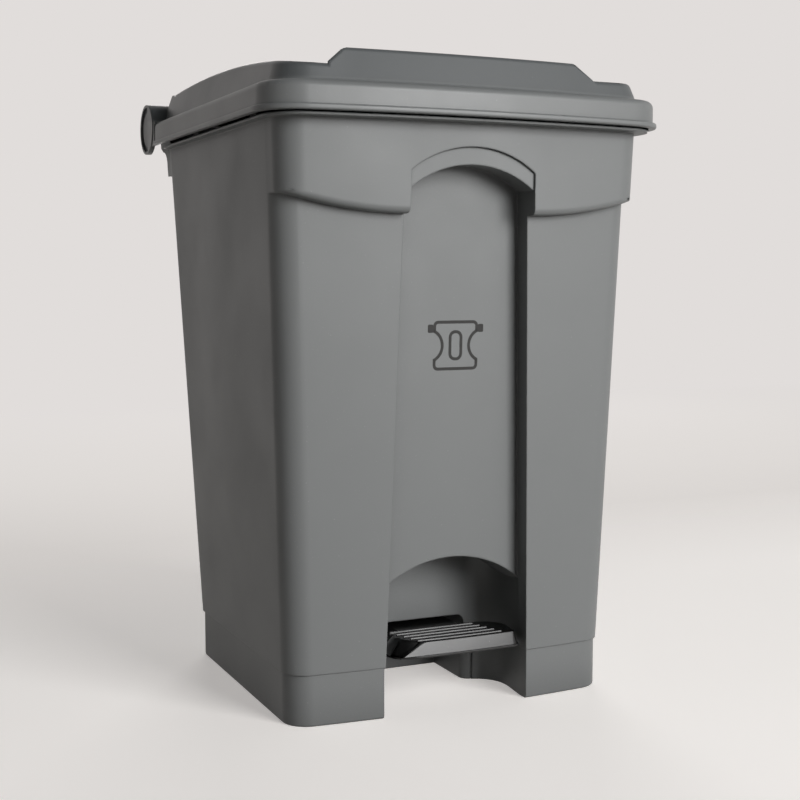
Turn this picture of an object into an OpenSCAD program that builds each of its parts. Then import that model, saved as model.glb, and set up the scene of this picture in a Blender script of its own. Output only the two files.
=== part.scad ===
// Step-on nappy bin of moulded plastic: a tapered tub on a separate base, a domed lid on two
// rear hinge pins, and a foot pedal that lifts the lid through a lever and a steel rod.
// The bin stands on z = 0, faces -Y, and is centred on the origin in X and in Y.

/* [Overall] */
// How far each side leans in from the rim down to the floor
side_draft = 18; // [14:0.5:24]
// Half the width of the tub at its rim
rim_half_w = 182; // [176:1:186]
// How far the front leans in from the rim down to the floor
front_draft = 18; // [14:0.5:24]
// Distance from the origin forward to the pillar fronts at the rim
rim_front = 178.5; // [174:0.5:182]
// How far the rear wall leans in from the rim down to the floor
rear_draft = 50; // [46:0.5:52]
// Distance from the origin back to the rear wall at the rim
rim_rear = 179.5; // [176:0.5:180]
// Height of the tub's rim
rim_z = 543; // [540:0.5:544]
// How far the fronts bulge forward in the middle
front_bow = 7; // [3:0.5:10]
// Radius of the tub's upright corners
corner_r = 25; // [18:1:32]
// Wall of the tub and the base
wall = 3; // [2.5:0.1:3.5]

/* [Collar and rim] */
// How far the collar stands ahead of the pillars
collar_out = 14.5; // [10:0.5:16]
// Height of the collar beside the recess
collar_h_inner = 82; // [70:1:90]
// Height of the collar at the corners
collar_h_outer = 66; // [54:1:72]
// How far the rim's flange stands out from the sides
flange_out = 9.5; // [7:0.5:9.5]
// How far the rim's flange stands ahead of the pillars
flange_ahead = 29; // [24:0.5:30]
// Thickness of the rim flange
flange_t = 2.5; // [2:0.1:4]

/* [Front recess and foot niche] */
// Half the width of the recess at floor level
recess_half_w_low = 75; // [70:1:78]
// Half the width of the recess below the collar
recess_half_w_high = 62.8; // [56:0.2:66]
// Depth of the recess behind the pillar fronts
recess_depth = 12.2; // [9:0.2:14]
// Distance from the rim down to the top of the recess's arch
arch_drop = 37; // [33:1:44]
// Rise of the arch over its springing
arch_rise = 21.6; // [15:0.2:26]
// Width of the bevelled brow over the arch
brow_w = 14.6; // [8:0.2:18]
// How far the brow lies behind the collar
brow_step = 3.5; // [2:0.5:5]
// Half the width of the foot niche
niche_half_w = 78; // [76:0.5:80]
// Half the width of the niche just behind the recess's panel
niche_mouth_half_w = 73.4; // [71:0.2:75]
// Half the width of the niche's mouth in the base
base_niche_half_w = 74.5; // [70:0.5:76]
// Distance forward to the place where the niche starts to flare
niche_flare_y = 152.5; // [150:0.5:155]
// Distance from the origin forward to the niche's rear wall
niche_rear = 86; // [80:1:92]
// Radius of the niche's rear corners
niche_r = 30; // [20:1:34]
// Height of the niche's arch in the middle
niche_top_z = 143; // [136:1:150]
// Radius of the niche's arch
niche_arch_r = 111; // [100:1:130]
// Half the width of the slot that the pedal's neck passes
slot_half_w = 47; // [45:0.5:50]
// Height of the slot's ceiling
slot_top_z = 68; // [66:0.5:70]

/* [Tub floor and base] */
// Height of the joint between the base and the tub
base_h = 48; // [46:0.5:50]
// How far the base's walls lie inside the tub's
base_inset = 1.4; // [0.8:0.1:2.5]
// Height of the underside of the tub's floor
floor_z = 74; // [73:0.5:80]
// Distance forward to the low cross wall in the tunnel
cross_wall_front = 18.5; // [17:0.5:22]
// Height of the low cross wall
cross_wall_h = 33; // [28:1:33]
// Radius of the base screws' shanks
base_screw_r = 2; // [1.6:0.1:2.3]

/* [Lid] */
// Gap between the rim and the closed lid's lower edge
lid_gap = 2; // [1.5:0.5:4]
// How far the lid's bead stands out beyond the rim's flange at the sides
lid_over = 8.5; // [6.5:0.5:12]
// How far the lid's bead stands ahead of the rim's flange
lid_ahead = 8; // [6:0.5:12]
// How far the lid's front bulges forward in the middle
lid_bow = 9; // [6:0.5:12]
// Corner radius of the lid's flange bead
lid_corner_r = 42.7; // [36:0.1:48]
// How far the bead stands proud of the lid's skirt
bead_out = 3.5; // [2:0.5:5]
// Height of the bead
bead_h = 4; // [3:0.5:6]
// Height of the ledge round the dome over the rim
ledge_rise = 26.5; // [25:0.5:29]
// Wall of the lid
lid_wall = 2.8; // [2.2:0.1:3.2]
// How far the dome's foot lies in from the bead at the sides
dome_in = 17; // [15:0.5:24]
// How far the dome's foot lies behind the bead at the front
dome_behind = 16.8; // [15:0.1:25]
// How far the dome's rear wall lies behind the hinge line
dome_past = 14; // [8:0.5:16]
// Corner radius of the dome
dome_r = 32; // [26:1:38]
// Height of the dome's ridge over the ledge
dome_rise = 33.5; // [28:0.5:35]
// Radius of the dome's crown from front to back
dome_crown_r = 1800; // [1500:50:2400]
// Height of the raised band's ridge over the dome's ridge
band_rise = 0.4; // [0.3:0.1:4]
// Radius of the raised band's crown from front to back
band_crown_r = 9200; // [6000:100:12000]
// Distance from the origin back to both crowns' ridges
crown_y = 60; // [30:5:90]
// How much each end of the raised band draws in for each millimetre to the rear
band_taper = 0.5; // [0.45:0.01:0.52]
// How far the raised band lies to the right of the middle
band_shift = -6; // [-8:0.5:0]
// Half the width of the raised band's foot
band_half_w_low = 128; // [120:1:136]
// Half the width of the raised band's top
band_half_w_high = 109.5; // [100:0.5:116]

/* [Hinge] */
// How far the hinge line lies behind the rear wall at the rim
hinge_out = 18.5; // [18.5:0.1:19]
// Height of the hinge line over the rim
hinge_rise = 21; // [21:0.1:22]
// Outer radius of the roll round the hinge line
roll_r = 26.5; // [26:0.1:26.5]
// How far the lid opens, in degrees
lid_open = 75; // [60:1:76]
// Radius of the hinge pins
hinge_pin_r = 4; // [3:0.1:5]
// Radius of the hinge pins' disc heads
pin_head_r = 19; // [16:0.5:21]
// How far the hinge arms' inner faces lie in from the tub's sides
arm_in = 16; // [12:0.5:22]
// Outer radius of the hinge arms' eyes
arm_r = 11; // [9:0.5:12]

/* [Lift linkage] */
// Distance from the hinge line to the rod's upper pin
lug_r = 25.5; // [24:0.1:26]
// Thickness of the lid's lug and of the lever's rear arm
lug_t = 6; // [5:0.5:7]
// Radius of the lift rod
rod_r = 3; // [2.5:0.1:3.2]
// Lean of the lift rod to the rear, in degrees
rod_lean = 6.36; // [6:0.02:6.6]
// Height of the rod's lower pin
rod_foot_z = 29; // [28:0.5:30]
// Radius of the rod's bends
rod_bend_r = 8; // [7:0.5:9]
// Running clearance between a shaft and its bore
run_clear = 0.05; // [0.03:0.01:0.09]
// Clearance between separate pieces
fit_clear = 0.3; // [0.2:0.05:0.4]

/* [Pedal] */
// Distance forward to the pedal's front edge
pedal_front = 167; // [162:0.5:168]
// Height of the pedal's tread
pedal_top_z = 68; // [67:0.5:72]
// Half the width of the apron's lower lip
pedal_half_w = 67; // [60:0.5:68]
// How far the tread's top reaches to the left
tread_left = 53; // [46:0.5:64]
// How far the tread's top reaches to the right
tread_right = 65.5; // [58:0.5:66]
// Depth of the tread from front to back
tread_depth = 48.5; // [44:0.5:62]
// Radius of the tread's large corners
tread_r = 24; // [12:1:24]
// Height of the tread's front apron
apron_h = 14.5; // [12:0.5:18]
// Half the width of the pedal's neck
neck_half_w = 33; // [30:1:43]
// Number of raised ribs on the tread
tread_ribs = 5; // [3:1:6]
// Distance from the origin forward to the pedal's axle
axle_y = 8; // [6:0.5:9]
// Radius of the pedal's axle
axle_r = 4; // [3.5:0.1:4.5]

/* [Hidden] */
$fn = 64;
body_grey = [0.53, 0.54, 0.54];
lid_grey = [0.50, 0.51, 0.51];
pedal_black = [0.13, 0.13, 0.13];
steel_grey = [0.72, 0.73, 0.74];
nylon_white = [0.86, 0.85, 0.81];
rubber_black = [0.08, 0.08, 0.08];
slip = 0.02;
eps = 0.01;
far = 900;

clear_ahead = 60;
foot_half_w = rim_half_w - side_draft;
foot_front = rim_front - front_draft;
foot_rear = rim_rear - rear_draft;
collar_z_inner = rim_z - collar_h_inner;
collar_z_outer = rim_z - collar_h_outer;
flange_half_w = rim_half_w + flange_out;
flange_front = rim_front + flange_ahead;
arch_top_z = rim_z - arch_drop;
lid_z = rim_z + lid_gap;
lid_half_w = flange_half_w + lid_over;
lid_front_side = flange_front + lid_ahead;
ledge_z = rim_z + ledge_rise;
dome_half_w = lid_half_w - dome_in;
dome_front = lid_front_side - dome_behind;
dome_top_z = ledge_z + dome_rise;
band_top_z = dome_top_z + band_rise;
hinge_y = rim_rear + hinge_out;
hinge_z = rim_z + hinge_rise;
dome_rear = hinge_y + dome_past;
arm_inner_x = rim_half_w - arm_in;

// The tub's walls at any height z
function blend(low, high, z) = low + (high - low) * z / rim_z;
function half_w_at(z) = blend(foot_half_w, rim_half_w, z);
function front_at(z) = blend(foot_front, rim_front, z);
function rear_at(z) = blend(foot_rear, rim_rear, z);
front_lean = atan((rim_front - foot_front) / rim_z);
front_turn = 2 * atan(front_bow / (rim_half_w - corner_r));
lid_turn = 2 * atan(lid_bow / (lid_half_w - lid_corner_r));

// The rod's line, its travel and the lever's swing that gives the same travel
pin_angle = 180 - rod_lean + lid_open / 2;
rod_top_y = hinge_y + lug_r * cos(pin_angle);
rod_top_z = hinge_z + lug_r * sin(pin_angle);
rod_travel = 2 * lug_r * sin(lid_open / 2);
rod_rise = rod_travel * cos(rod_lean);
rod_foot_y = rod_top_y - (rod_top_z - rod_foot_z) * tan(rod_lean);
rod_len = (rod_top_z - rod_foot_z) / cos(rod_lean);
axle_z = rod_foot_z + rod_rise / 2;
lever_reach = rod_foot_y + axle_y;
pedal_swing = 2 * atan(rod_rise / 2 / lever_reach);
rod_x = -(lug_t / 2 + 2 + rod_bend_r);
rod_pin_end = lug_t / 2 + 5;

// The groove down the tub's back that holds the rod
groove_half_w = 20;
groove_depth = 11;

// The recess panel, in the leaning frame of the tub's front
panel_front = foot_front - recess_depth;
arch_half_w = recess_half_w_high - 1;
arch_r = (arch_half_w * arch_half_w + arch_rise * arch_rise) / (2 * arch_rise);

function arc_points(x, y, r, from, to, steps) =
    [for (i = [0:steps]) let (a = from + (to - from) * i / steps) [x + r * cos(a), y + r * sin(a)]];

// Rounded outline whose front is one long shallow arc, tangent to the corners it joins.
// The arc spans the angle turn to each side of the middle.
module bowed(half_w, front, rear, r, turn) {
    reach = half_w - r;
    bow_r = r + reach / sin(turn);
    corner_steps = 10;
    bow_steps = 22;
    bow_turn = turn * bow_steps / (bow_steps + 2);
    polygon(concat(
        arc_points(0, bow_r - front - reach * tan(turn / 2), bow_r, 270 - bow_turn, 270 + bow_turn,
                   bow_steps),
        arc_points(reach, r - front, r, 270 + turn, 360, corner_steps),
        arc_points(reach, rear - r, r, 0, 90, corner_steps),
        arc_points(-reach, rear - r, r, 90, 180, corner_steps),
        arc_points(-reach, r - front, r, 180, 270 - turn, corner_steps)));
}

module tub_plan(z, inset = 0) {
    bowed(half_w_at(z) - inset, front_at(z) - inset, rear_at(z) - inset, corner_r - inset, front_turn);
}

// A drafted block between two heights, drawn in by inset
module tub_block(z0, z1, inset = 0) {
    hull() {
        translate([0, 0, z0]) linear_extrude(eps) tub_plan(z0, inset);
        translate([0, 0, z1 - eps]) linear_extrude(eps) tub_plan(z1, inset);
    }
}

// Turns a drawing in X and Z into a block that runs forward from the leaning front's plane
module on_front(distance, depth) {
    translate([0, -distance, 0]) rotate([90 + front_lean, 0, 0]) linear_extrude(depth) children();
}

module arch_outline(half_w, top_z, r, low_half_w) {
    spring_z = top_z - r + sqrt(r * r - half_w * half_w);
    polygon([[-low_half_w, -5], [low_half_w, -5], [half_w, spring_z], [-half_w, spring_z]]);
    intersection() {
        translate([0, top_z - r]) circle(r, $fn = 180);
        translate([-half_w, spring_z - eps]) square([2 * half_w, r]);
    }
}

module recess_tool(grow = 0) {
    on_front(panel_front - grow, 90)
        arch_outline(arch_half_w + grow, arch_top_z + grow, arch_r + grow, recess_half_w_low + grow);
}

// The brow over the arch: a shallow step cut into the collar's face
module brow_tool(grow = 0) {
    on_front(foot_front + collar_out + front_bow - brow_step - grow, clear_ahead) difference() {
        translate([-arch_half_w, arch_top_z - arch_rise - 2]) square([2 * arch_half_w, arch_rise * 3]);
        difference() {
            translate([-far, arch_top_z - arch_rise - far]) square(2 * far);
            translate([0, arch_top_z + brow_w - arch_r]) circle(arch_r, $fn = 180);
        }
    }
}

// The niche in plan: front_half_w wide ahead of the panel and mouth_half_w just behind it,
// then flaring to its full width, with deep round rear corners
niche_flare_len = 30;
module niche_plan(front_half_w, mouth_half_w, grow = 0) {
    r = niche_r + grow;
    y0 = -niche_rear + grow;
    w = niche_half_w + grow;
    front_w = front_half_w + grow;
    mouth_w = mouth_half_w + grow;
    flare_end = niche_flare_len - niche_flare_y;
    polygon(concat(
        [[-front_w, -foot_front - clear_ahead], [front_w, -foot_front - clear_ahead],
         [front_w, -niche_flare_y], [mouth_w, -niche_flare_y + eps], [w, flare_end]],
        arc_points(w - r, y0 - r, r, 0, 90, 12),
        arc_points(r - w, y0 - r, r, 90, 180, 12),
        [[-w, flare_end], [-mouth_w, -niche_flare_y + eps], [-front_w, -niche_flare_y]]));
}

// The niche is a little narrower ahead of the panel, and its arch springs over the arch's centre
mouth_step = 2.4;
niche_centre_z = niche_top_z - niche_arch_r;
niche_spring_z = niche_centre_z + 28;
module niche_tool(grow = 0) {
    intersection() {
        translate([0, 0, -1]) linear_extrude(niche_top_z + grow + 2)
            niche_plan(niche_mouth_half_w - mouth_step, niche_mouth_half_w, grow);
        translate([0, -niche_rear + grow + 1, 0]) rotate([90, 0, 0]) linear_extrude(far) union() {
            intersection() {
                translate([0, niche_centre_z]) circle(niche_arch_r + grow, $fn = 180);
                translate([-far / 2, niche_spring_z]) square([far, far]);
            }
            translate([-far / 2, -1]) square([far, niche_spring_z + 2]);
        }
    }
}

// The slot in the niche's rear wall, with rounded upper corners
slot_corner_r = 8;
module slot_tool() {
    corner_x = slot_half_w - slot_corner_r;
    corner_z = slot_top_z - slot_corner_r;
    translate([0, -niche_rear - 40, 0]) rotate([-90, 0, 0]) mirror([0, 1, 0]) linear_extrude(60) {
        translate([-slot_half_w, -1]) square([2 * slot_half_w, corner_z + 1]);
        translate([-corner_x, -1]) square([2 * corner_x, slot_top_z + 1]);
        for (side = [-1, 1]) translate([side * corner_x, corner_z]) circle(slot_corner_r);
    }
}

// Frame of the lift rod: origin at its lower pin, Z along the rod, Y away from the tub
module along_rod(distance = 0) {
    translate([0, rod_foot_y, rod_foot_z]) rotate([-rod_lean, 0, 0]) translate([0, 0, distance])
        children();
}

module groove_tool(grow = 0) {
    along_rod(-60) translate([-groove_half_w - grow, -groove_depth - grow, 0])
        cube([2 * (groove_half_w + grow), 90, rod_len + 160]);
}

// Places of the rod's guides and of their screws
guide_h = 16;
guide_low = 75;
guide_high = 470;
guide_screw_r = 1.7;
guide_flange_t = 5;
guide_screw_x = [2, 13];
module at_guide_screws() {
    for (distance = [guide_low, guide_high], x = guide_screw_x)
        along_rod(distance + guide_h / 2) translate([x, -groove_depth, 0]) rotate([-90, 0, 0]) children();
}

base_boss_r = 7;
base_screw_x = foot_half_w - 44;
base_screw_front = foot_front - 45.5;
base_screw_rear = foot_rear - 34.5;
deck_t = 3;
module at_base_screws() {
    for (x = [-base_screw_x, base_screw_x], y = [-base_screw_front, base_screw_rear])
        translate([x, y, 0]) children();
}

flange_rear = rim_rear - 4;
arm_outer_x = rim_half_w - 2.5;
eye_outer_x = flange_half_w;
// Arms that carry the hinge pins: an eye on a web, with a hollow curve under it
module hinge_arms() {
    under_r = 16;
    under_z = rim_z - 3 - under_r;
    root_z = rim_z - 30;
    root_y = rim_rear - 24;
    for (side = [-1, 1]) {
        translate([side * (arm_inner_x + eye_outer_x) / 2, hinge_y, hinge_z]) rotate([0, 90, 0])
            cylinder(r = arm_r, h = eye_outer_x - arm_inner_x, center = true);
        translate([side * (arm_inner_x + arm_outer_x) / 2, 0, 0]) rotate([90, 0, 90])
            linear_extrude(arm_outer_x - arm_inner_x, center = true) polygon(concat(
                [[hinge_y + arm_r, hinge_z], [hinge_y - arm_r, hinge_z], [root_y, rim_z],
                 [root_y, root_z], [rear_at(root_z) - 1, root_z]],
                arc_points(rim_rear + under_r - 1, under_z, under_r, 180, 90, 8),
                [[hinge_y + 6, rim_z + 2]]));
    }
}

// Lower edge of the collar: flat beside the recess, rising towards the corner
function collar_edge(t, side, inset) =
    [side * (recess_half_w_high + t * (rim_half_w - 8 - recess_half_w_high)),
     collar_z_inner + inset + (collar_z_outer - collar_z_inner) * t * t];

module collar_plan(z, inset) {
    side_gap = 0.2;
    bowed(half_w_at(z) - inset - side_gap, front_at(z) - inset + collar_out, 0, corner_r - inset,
          front_turn);
}
module collar_block(inset) {
    low_z = collar_z_inner - 10;
    high_z = rim_z + inset;
    intersection() {
        hull() {
            translate([0, 0, low_z]) linear_extrude(eps) collar_plan(low_z, inset);
            translate([0, 0, high_z - eps]) linear_extrude(eps) collar_plan(high_z, inset);
        }
        rotate([90, 0, 0]) linear_extrude(far / 2) polygon(concat(
            [[-far / 2, rim_z + 5], [far / 2, rim_z + 5], [far / 2, collar_z_outer + inset]],
            [for (i = [8:-1:0]) collar_edge(i / 8, 1, inset)],
            [for (i = [0:8]) collar_edge(i / 8, -1, inset)],
            [[-far / 2, collar_z_outer + inset]]));
    }
}

module tub_shell() {
    difference() {
        union() {
            tub_block(base_h, rim_z);
            collar_block(0);
            translate([0, 0, rim_z - flange_t]) linear_extrude(flange_t)
                bowed(flange_half_w, flange_front, flange_rear, lid_corner_r - 8, lid_turn);
        }
        recess_tool();
        brow_tool();
        niche_tool();
        groove_tool();
    }
}

module tub_cavity() {
    difference() {
        union() {
            tub_block(floor_z + wall, rim_z + 1, wall);
            collar_block(wall);
        }
        recess_tool(wall);
        brow_tool(wall);
        niche_tool(wall);
        groove_tool(wall);
        at_guide_screws() cylinder(r = 6, h = 16, center = true);
    }
}

// The room under the floor, open below
module tub_skirt_room() {
    difference() {
        tub_block(base_h - 1, floor_z, wall);
        niche_tool(wall);
        translate([-recess_half_w_low - wall, -foot_front - clear_ahead, 0])
            cube([2 * (recess_half_w_low + wall), clear_ahead + recess_depth + wall, far]);
        groove_tool(wall);
        at_base_screws() cylinder(r = base_boss_r, h = floor_z + 1);
    }
}

module body() {
    color(body_grey) difference() {
        union() {
            difference() {
                tub_shell();
                tub_cavity();
                tub_skirt_room();
            }
            hinge_arms();
        }
        for (side = [-1, 1]) translate([side * (arm_inner_x + eye_outer_x) / 2, hinge_y, hinge_z])
            rotate([0, 90, 0])
                cylinder(r = hinge_pin_r + run_clear, h = eye_outer_x - arm_inner_x + 2, center = true);
        // room under the floor for the lever's rear arm
        translate([-arm_lane_half_w, 0, base_h - 1])
            cube([2 * arm_lane_half_w, rod_foot_y, floor_z - base_h]);
        at_base_screws() translate([0, 0, base_h - 1]) cylinder(r = base_screw_r + slip, h = 19);
        at_guide_screws() cylinder(r = guide_screw_r + slip, h = 11, center = true);
        slot_tool();
    }
}

module base_screws() {
    color(steel_grey) at_base_screws() {
        translate([0, 0, base_h - deck_t]) cylinder(r = base_screw_r, h = deck_t + 15);
        translate([0, 0, base_h - deck_t - 2.5]) cylinder(r = 2 * base_screw_r, h = 2.5);
    }
}

// The open lane behind the niche where the lever swings
lane_rear = 28 - axle_y;
arm_lane_half_w = 16;
module base_plan(inset = 0) {
    bowed(half_w_at(base_h) - base_inset - inset, front_at(base_h) - base_inset - inset,
          rear_at(base_h) - 2 * base_inset - inset, corner_r - inset, front_turn);
}
module lane_plan(grow = 0) {
    translate([-slot_half_w - grow, -niche_rear - 5])
        square([2 * (slot_half_w + grow), niche_rear + 5 + lane_rear + grow]);
    translate([-arm_lane_half_w - 8 - grow, 0]) square([2 * (arm_lane_half_w + 8 + grow), far]);
}
// Rounded noses where the niche's rear wall turns into the lane
nose_r = 10;
module lane_noses(size) {
    for (side = [-1, 1]) translate([side * (slot_half_w + size / 2), -niche_rear + size / 2])
        square(size, center = true);
}
module lane_corners() {
    for (side = [-1, 1]) difference() {
        translate([side * (slot_half_w + nose_r / 2 - 0.5), -niche_rear + nose_r / 2 - 0.5])
            square(nose_r + 1, center = true);
        translate([side * (slot_half_w + nose_r), nose_r - niche_rear]) circle(nose_r);
    }
}
module cross_wall() {
    translate([-slot_half_w - 1, -cross_wall_front, 0])
        cube([2 * slot_half_w + 2, wall, cross_wall_h]);
}
bearing_r = 11;
bush_r = 6.5;
module base() {
    color(body_grey) difference() {
        union() {
            // outer walls with the walls of the niche and the lane
            linear_extrude(base_h) difference() {
                base_plan();
                difference() {
                    base_plan(wall);
                    niche_plan(base_niche_half_w, base_niche_half_w, wall);
                    lane_noses(nose_r + wall);
                    lane_plan(wall);
                }
            }
            // deck that the tub stands on
            translate([0, 0, base_h - deck_t]) linear_extrude(deck_t) base_plan(eps);
            // walls of the lane up to the tub's floor, with the axle's bearings
            linear_extrude(floor_z - fit_clear) intersection() {
                base_plan(3 * wall);
                difference() {
                    translate([-slot_half_w - wall, -niche_rear + 2 * wall])
                        square([2 * (slot_half_w + wall), niche_rear - 2 * wall + lane_rear + wall]);
                    lane_plan();
                }
            }
            for (side = [-1, 1]) translate([side * (slot_half_w + 5), -axle_y, axle_z]) rotate([0, 90, 0])
                cylinder(r = bearing_r, h = 10, center = true);
            // low cross wall under the lever
            cross_wall();
            // lip that locates the tub
            translate([0, 0, base_h - 1]) linear_extrude(6) intersection() {
                difference() {
                    tub_plan(base_h, wall + fit_clear + 0.3);
                    tub_plan(base_h, 2 * wall + fit_clear);
                }
                translate([-far / 2, -foot_front + 45]) square([far, foot_front + 20]);
            }
        }
        translate([0, 0, -1]) linear_extrude(base_h + 2) {
            niche_plan(base_niche_half_w, base_niche_half_w);
            lane_corners();
        }
        difference() {
            translate([0, 0, -1]) linear_extrude(far) intersection() {
                lane_plan();
                base_plan(wall);
            }
            cross_wall();
        }
        translate([0, -axle_y, axle_z]) rotate([0, 90, 0])
            cylinder(r = bush_r + slip, h = 2 * slot_half_w + 40, center = true);
        for (side = [-1, 1]) translate([side * (slot_half_w + 14), -axle_y, axle_z]) rotate([0, 90, 0])
            cylinder(r = axle_r + 4, h = 8, center = true);
        at_base_screws() translate([0, 0, base_h - 10]) cylinder(r = base_screw_r + fit_clear, h = 20);
        groove_floor_cut();
    }
}
// Room for the rod and its guide where the base's lip meets the groove
module groove_floor_cut() {
    room_half_w = groove_half_w + wall + 1;
    translate([-room_half_w, rod_foot_y - 20, base_h]) cube([2 * room_half_w, 60, 10]);
}

// Lid
skirt_half_w = lid_half_w - bead_out;
module skirt_plan(inset = 0) {
    bowed(skirt_half_w - inset, lid_front_side - bead_out - inset, hinge_y - inset,
          lid_corner_r - bead_out - inset, lid_turn);
}
// How much the dome's walls lean in for each millimetre of height
dome_lean_front = 0.26;
dome_lean_side = 0.32;
dome_lean_rear = 0.2;
module dome_plan(z, inset = 0) {
    rise = z - ledge_z;
    bowed(dome_half_w - dome_lean_side * rise - inset, dome_front - dome_lean_front * rise - inset,
          dome_rear - dome_lean_rear * rise - inset, dome_r - inset, lid_turn);
}
module dome_block(inset = 0) {
    low = ledge_z - 0.5 - inset;
    top = band_top_z + 3;
    hull() {
        translate([0, 0, low]) linear_extrude(eps) dome_plan(low, inset);
        translate([0, 0, top]) linear_extrude(eps) dome_plan(top, inset);
    }
}
module crown(top_z, r) {
    translate([0, crown_y, top_z - r]) rotate([0, 90, 0])
        cylinder(r = r, h = 2 * far, center = true, $fn = 720);
}
// The raised band: its ends lean in at the shoulders, and it narrows to the rear and fades into
// the dome near the ridge
band_ahead = 32;
band_tail_y = 5;
shoulder_low = 16;
shoulder_high = 2;
module band_profile(distance, grow) {
    low_w = band_half_w_low + grow;
    high_w = band_half_w_high + grow;
    low_z = dome_top_z - shoulder_low;
    high_z = dome_top_z - shoulder_high;
    translate([band_shift, -distance, 0]) rotate([90, 0, 0]) linear_extrude(eps)
        polygon([[-low_w, ledge_z - 20], [low_w, ledge_z - 20], [low_w, low_z], [high_w, high_z],
                 [high_w, dome_top_z + 20], [-high_w, dome_top_z + 20], [-high_w, high_z],
                 [-low_w, low_z]]);
}
module band(inset) {
    intersection() {
        crown(band_top_z - inset, band_crown_r);
        hull() {
            band_profile(dome_front + band_ahead, band_taper * band_ahead - inset);
            band_profile(band_tail_y, band_taper * (band_tail_y - dome_front) - inset);
        }
    }
}
module dome(inset = 0) {
    intersection() {
        dome_block(inset);
        union() {
            crown(dome_top_z - inset, dome_crown_r);
            band(inset);
        }
    }
}

module ring_sector(r_out, r_in, half_len, from, to) {
    rotate([90, 0, 90]) translate([0, 0, -half_len]) intersection() {
        linear_extrude(2 * half_len) difference() {
            circle(r_out);
            circle(r_in);
        }
        linear_extrude(2 * half_len) polygon(concat([[0, 0]],
            [for (i = [0:6]) let (a = from + (to - from) * i / 6) 2 * r_out * [cos(a), sin(a)]]));
    }
}

cheek_inner = flange_half_w + 1.1;
cheek_t = 2;
head_t = 1.2;
roll_half_len = cheek_inner + cheek_t + head_t + fit_clear + 1.3;
// The hollow curve between the ledge and the roll
cove_r = 10;
cove_z = ledge_z + cove_r;
cove_y = hinge_y - sqrt((roll_r + cove_r) * (roll_r + cove_r) - (cove_z - hinge_z) * (cove_z - hinge_z));
roll_from = -90;
roll_to = 172;
module lug() {
    slot_out = lug_r + 0.4;
    slot_in = lug_r * cos(lid_open / 2) - 0.4;
    slot_r = rod_r + 1.2;
    rotate([90, 0, 90]) linear_extrude(lug_t, center = true) rotate(pin_angle) difference() {
        union() {
            translate([-roll_r + 1.5, -8]) square([roll_r + lug_r - 1.5, 16]);
            translate([lug_r, 0]) circle(8);
        }
        translate([slot_in, -slot_r]) square([slot_out - slot_in, 2 * slot_r]);
        for (x = [slot_in, slot_out]) translate([x, 0]) circle(slot_r);
    }
}

module cove() {
    cove_half_w = skirt_half_w - 0.5;
    meet = atan2(cove_z - hinge_z, hinge_y - cove_y);
    rotate([90, 0, 90]) linear_extrude(2 * cove_half_w, center = true) polygon(concat(
        [[hinge_y - roll_r + 6, ledge_z - 2], [cove_y, ledge_z - 2]],
        arc_points(cove_y, cove_z, cove_r, 270, 360 - meet, 8),
        [[hinge_y - roll_r + 6, cove_z - 2]]));
}

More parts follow.
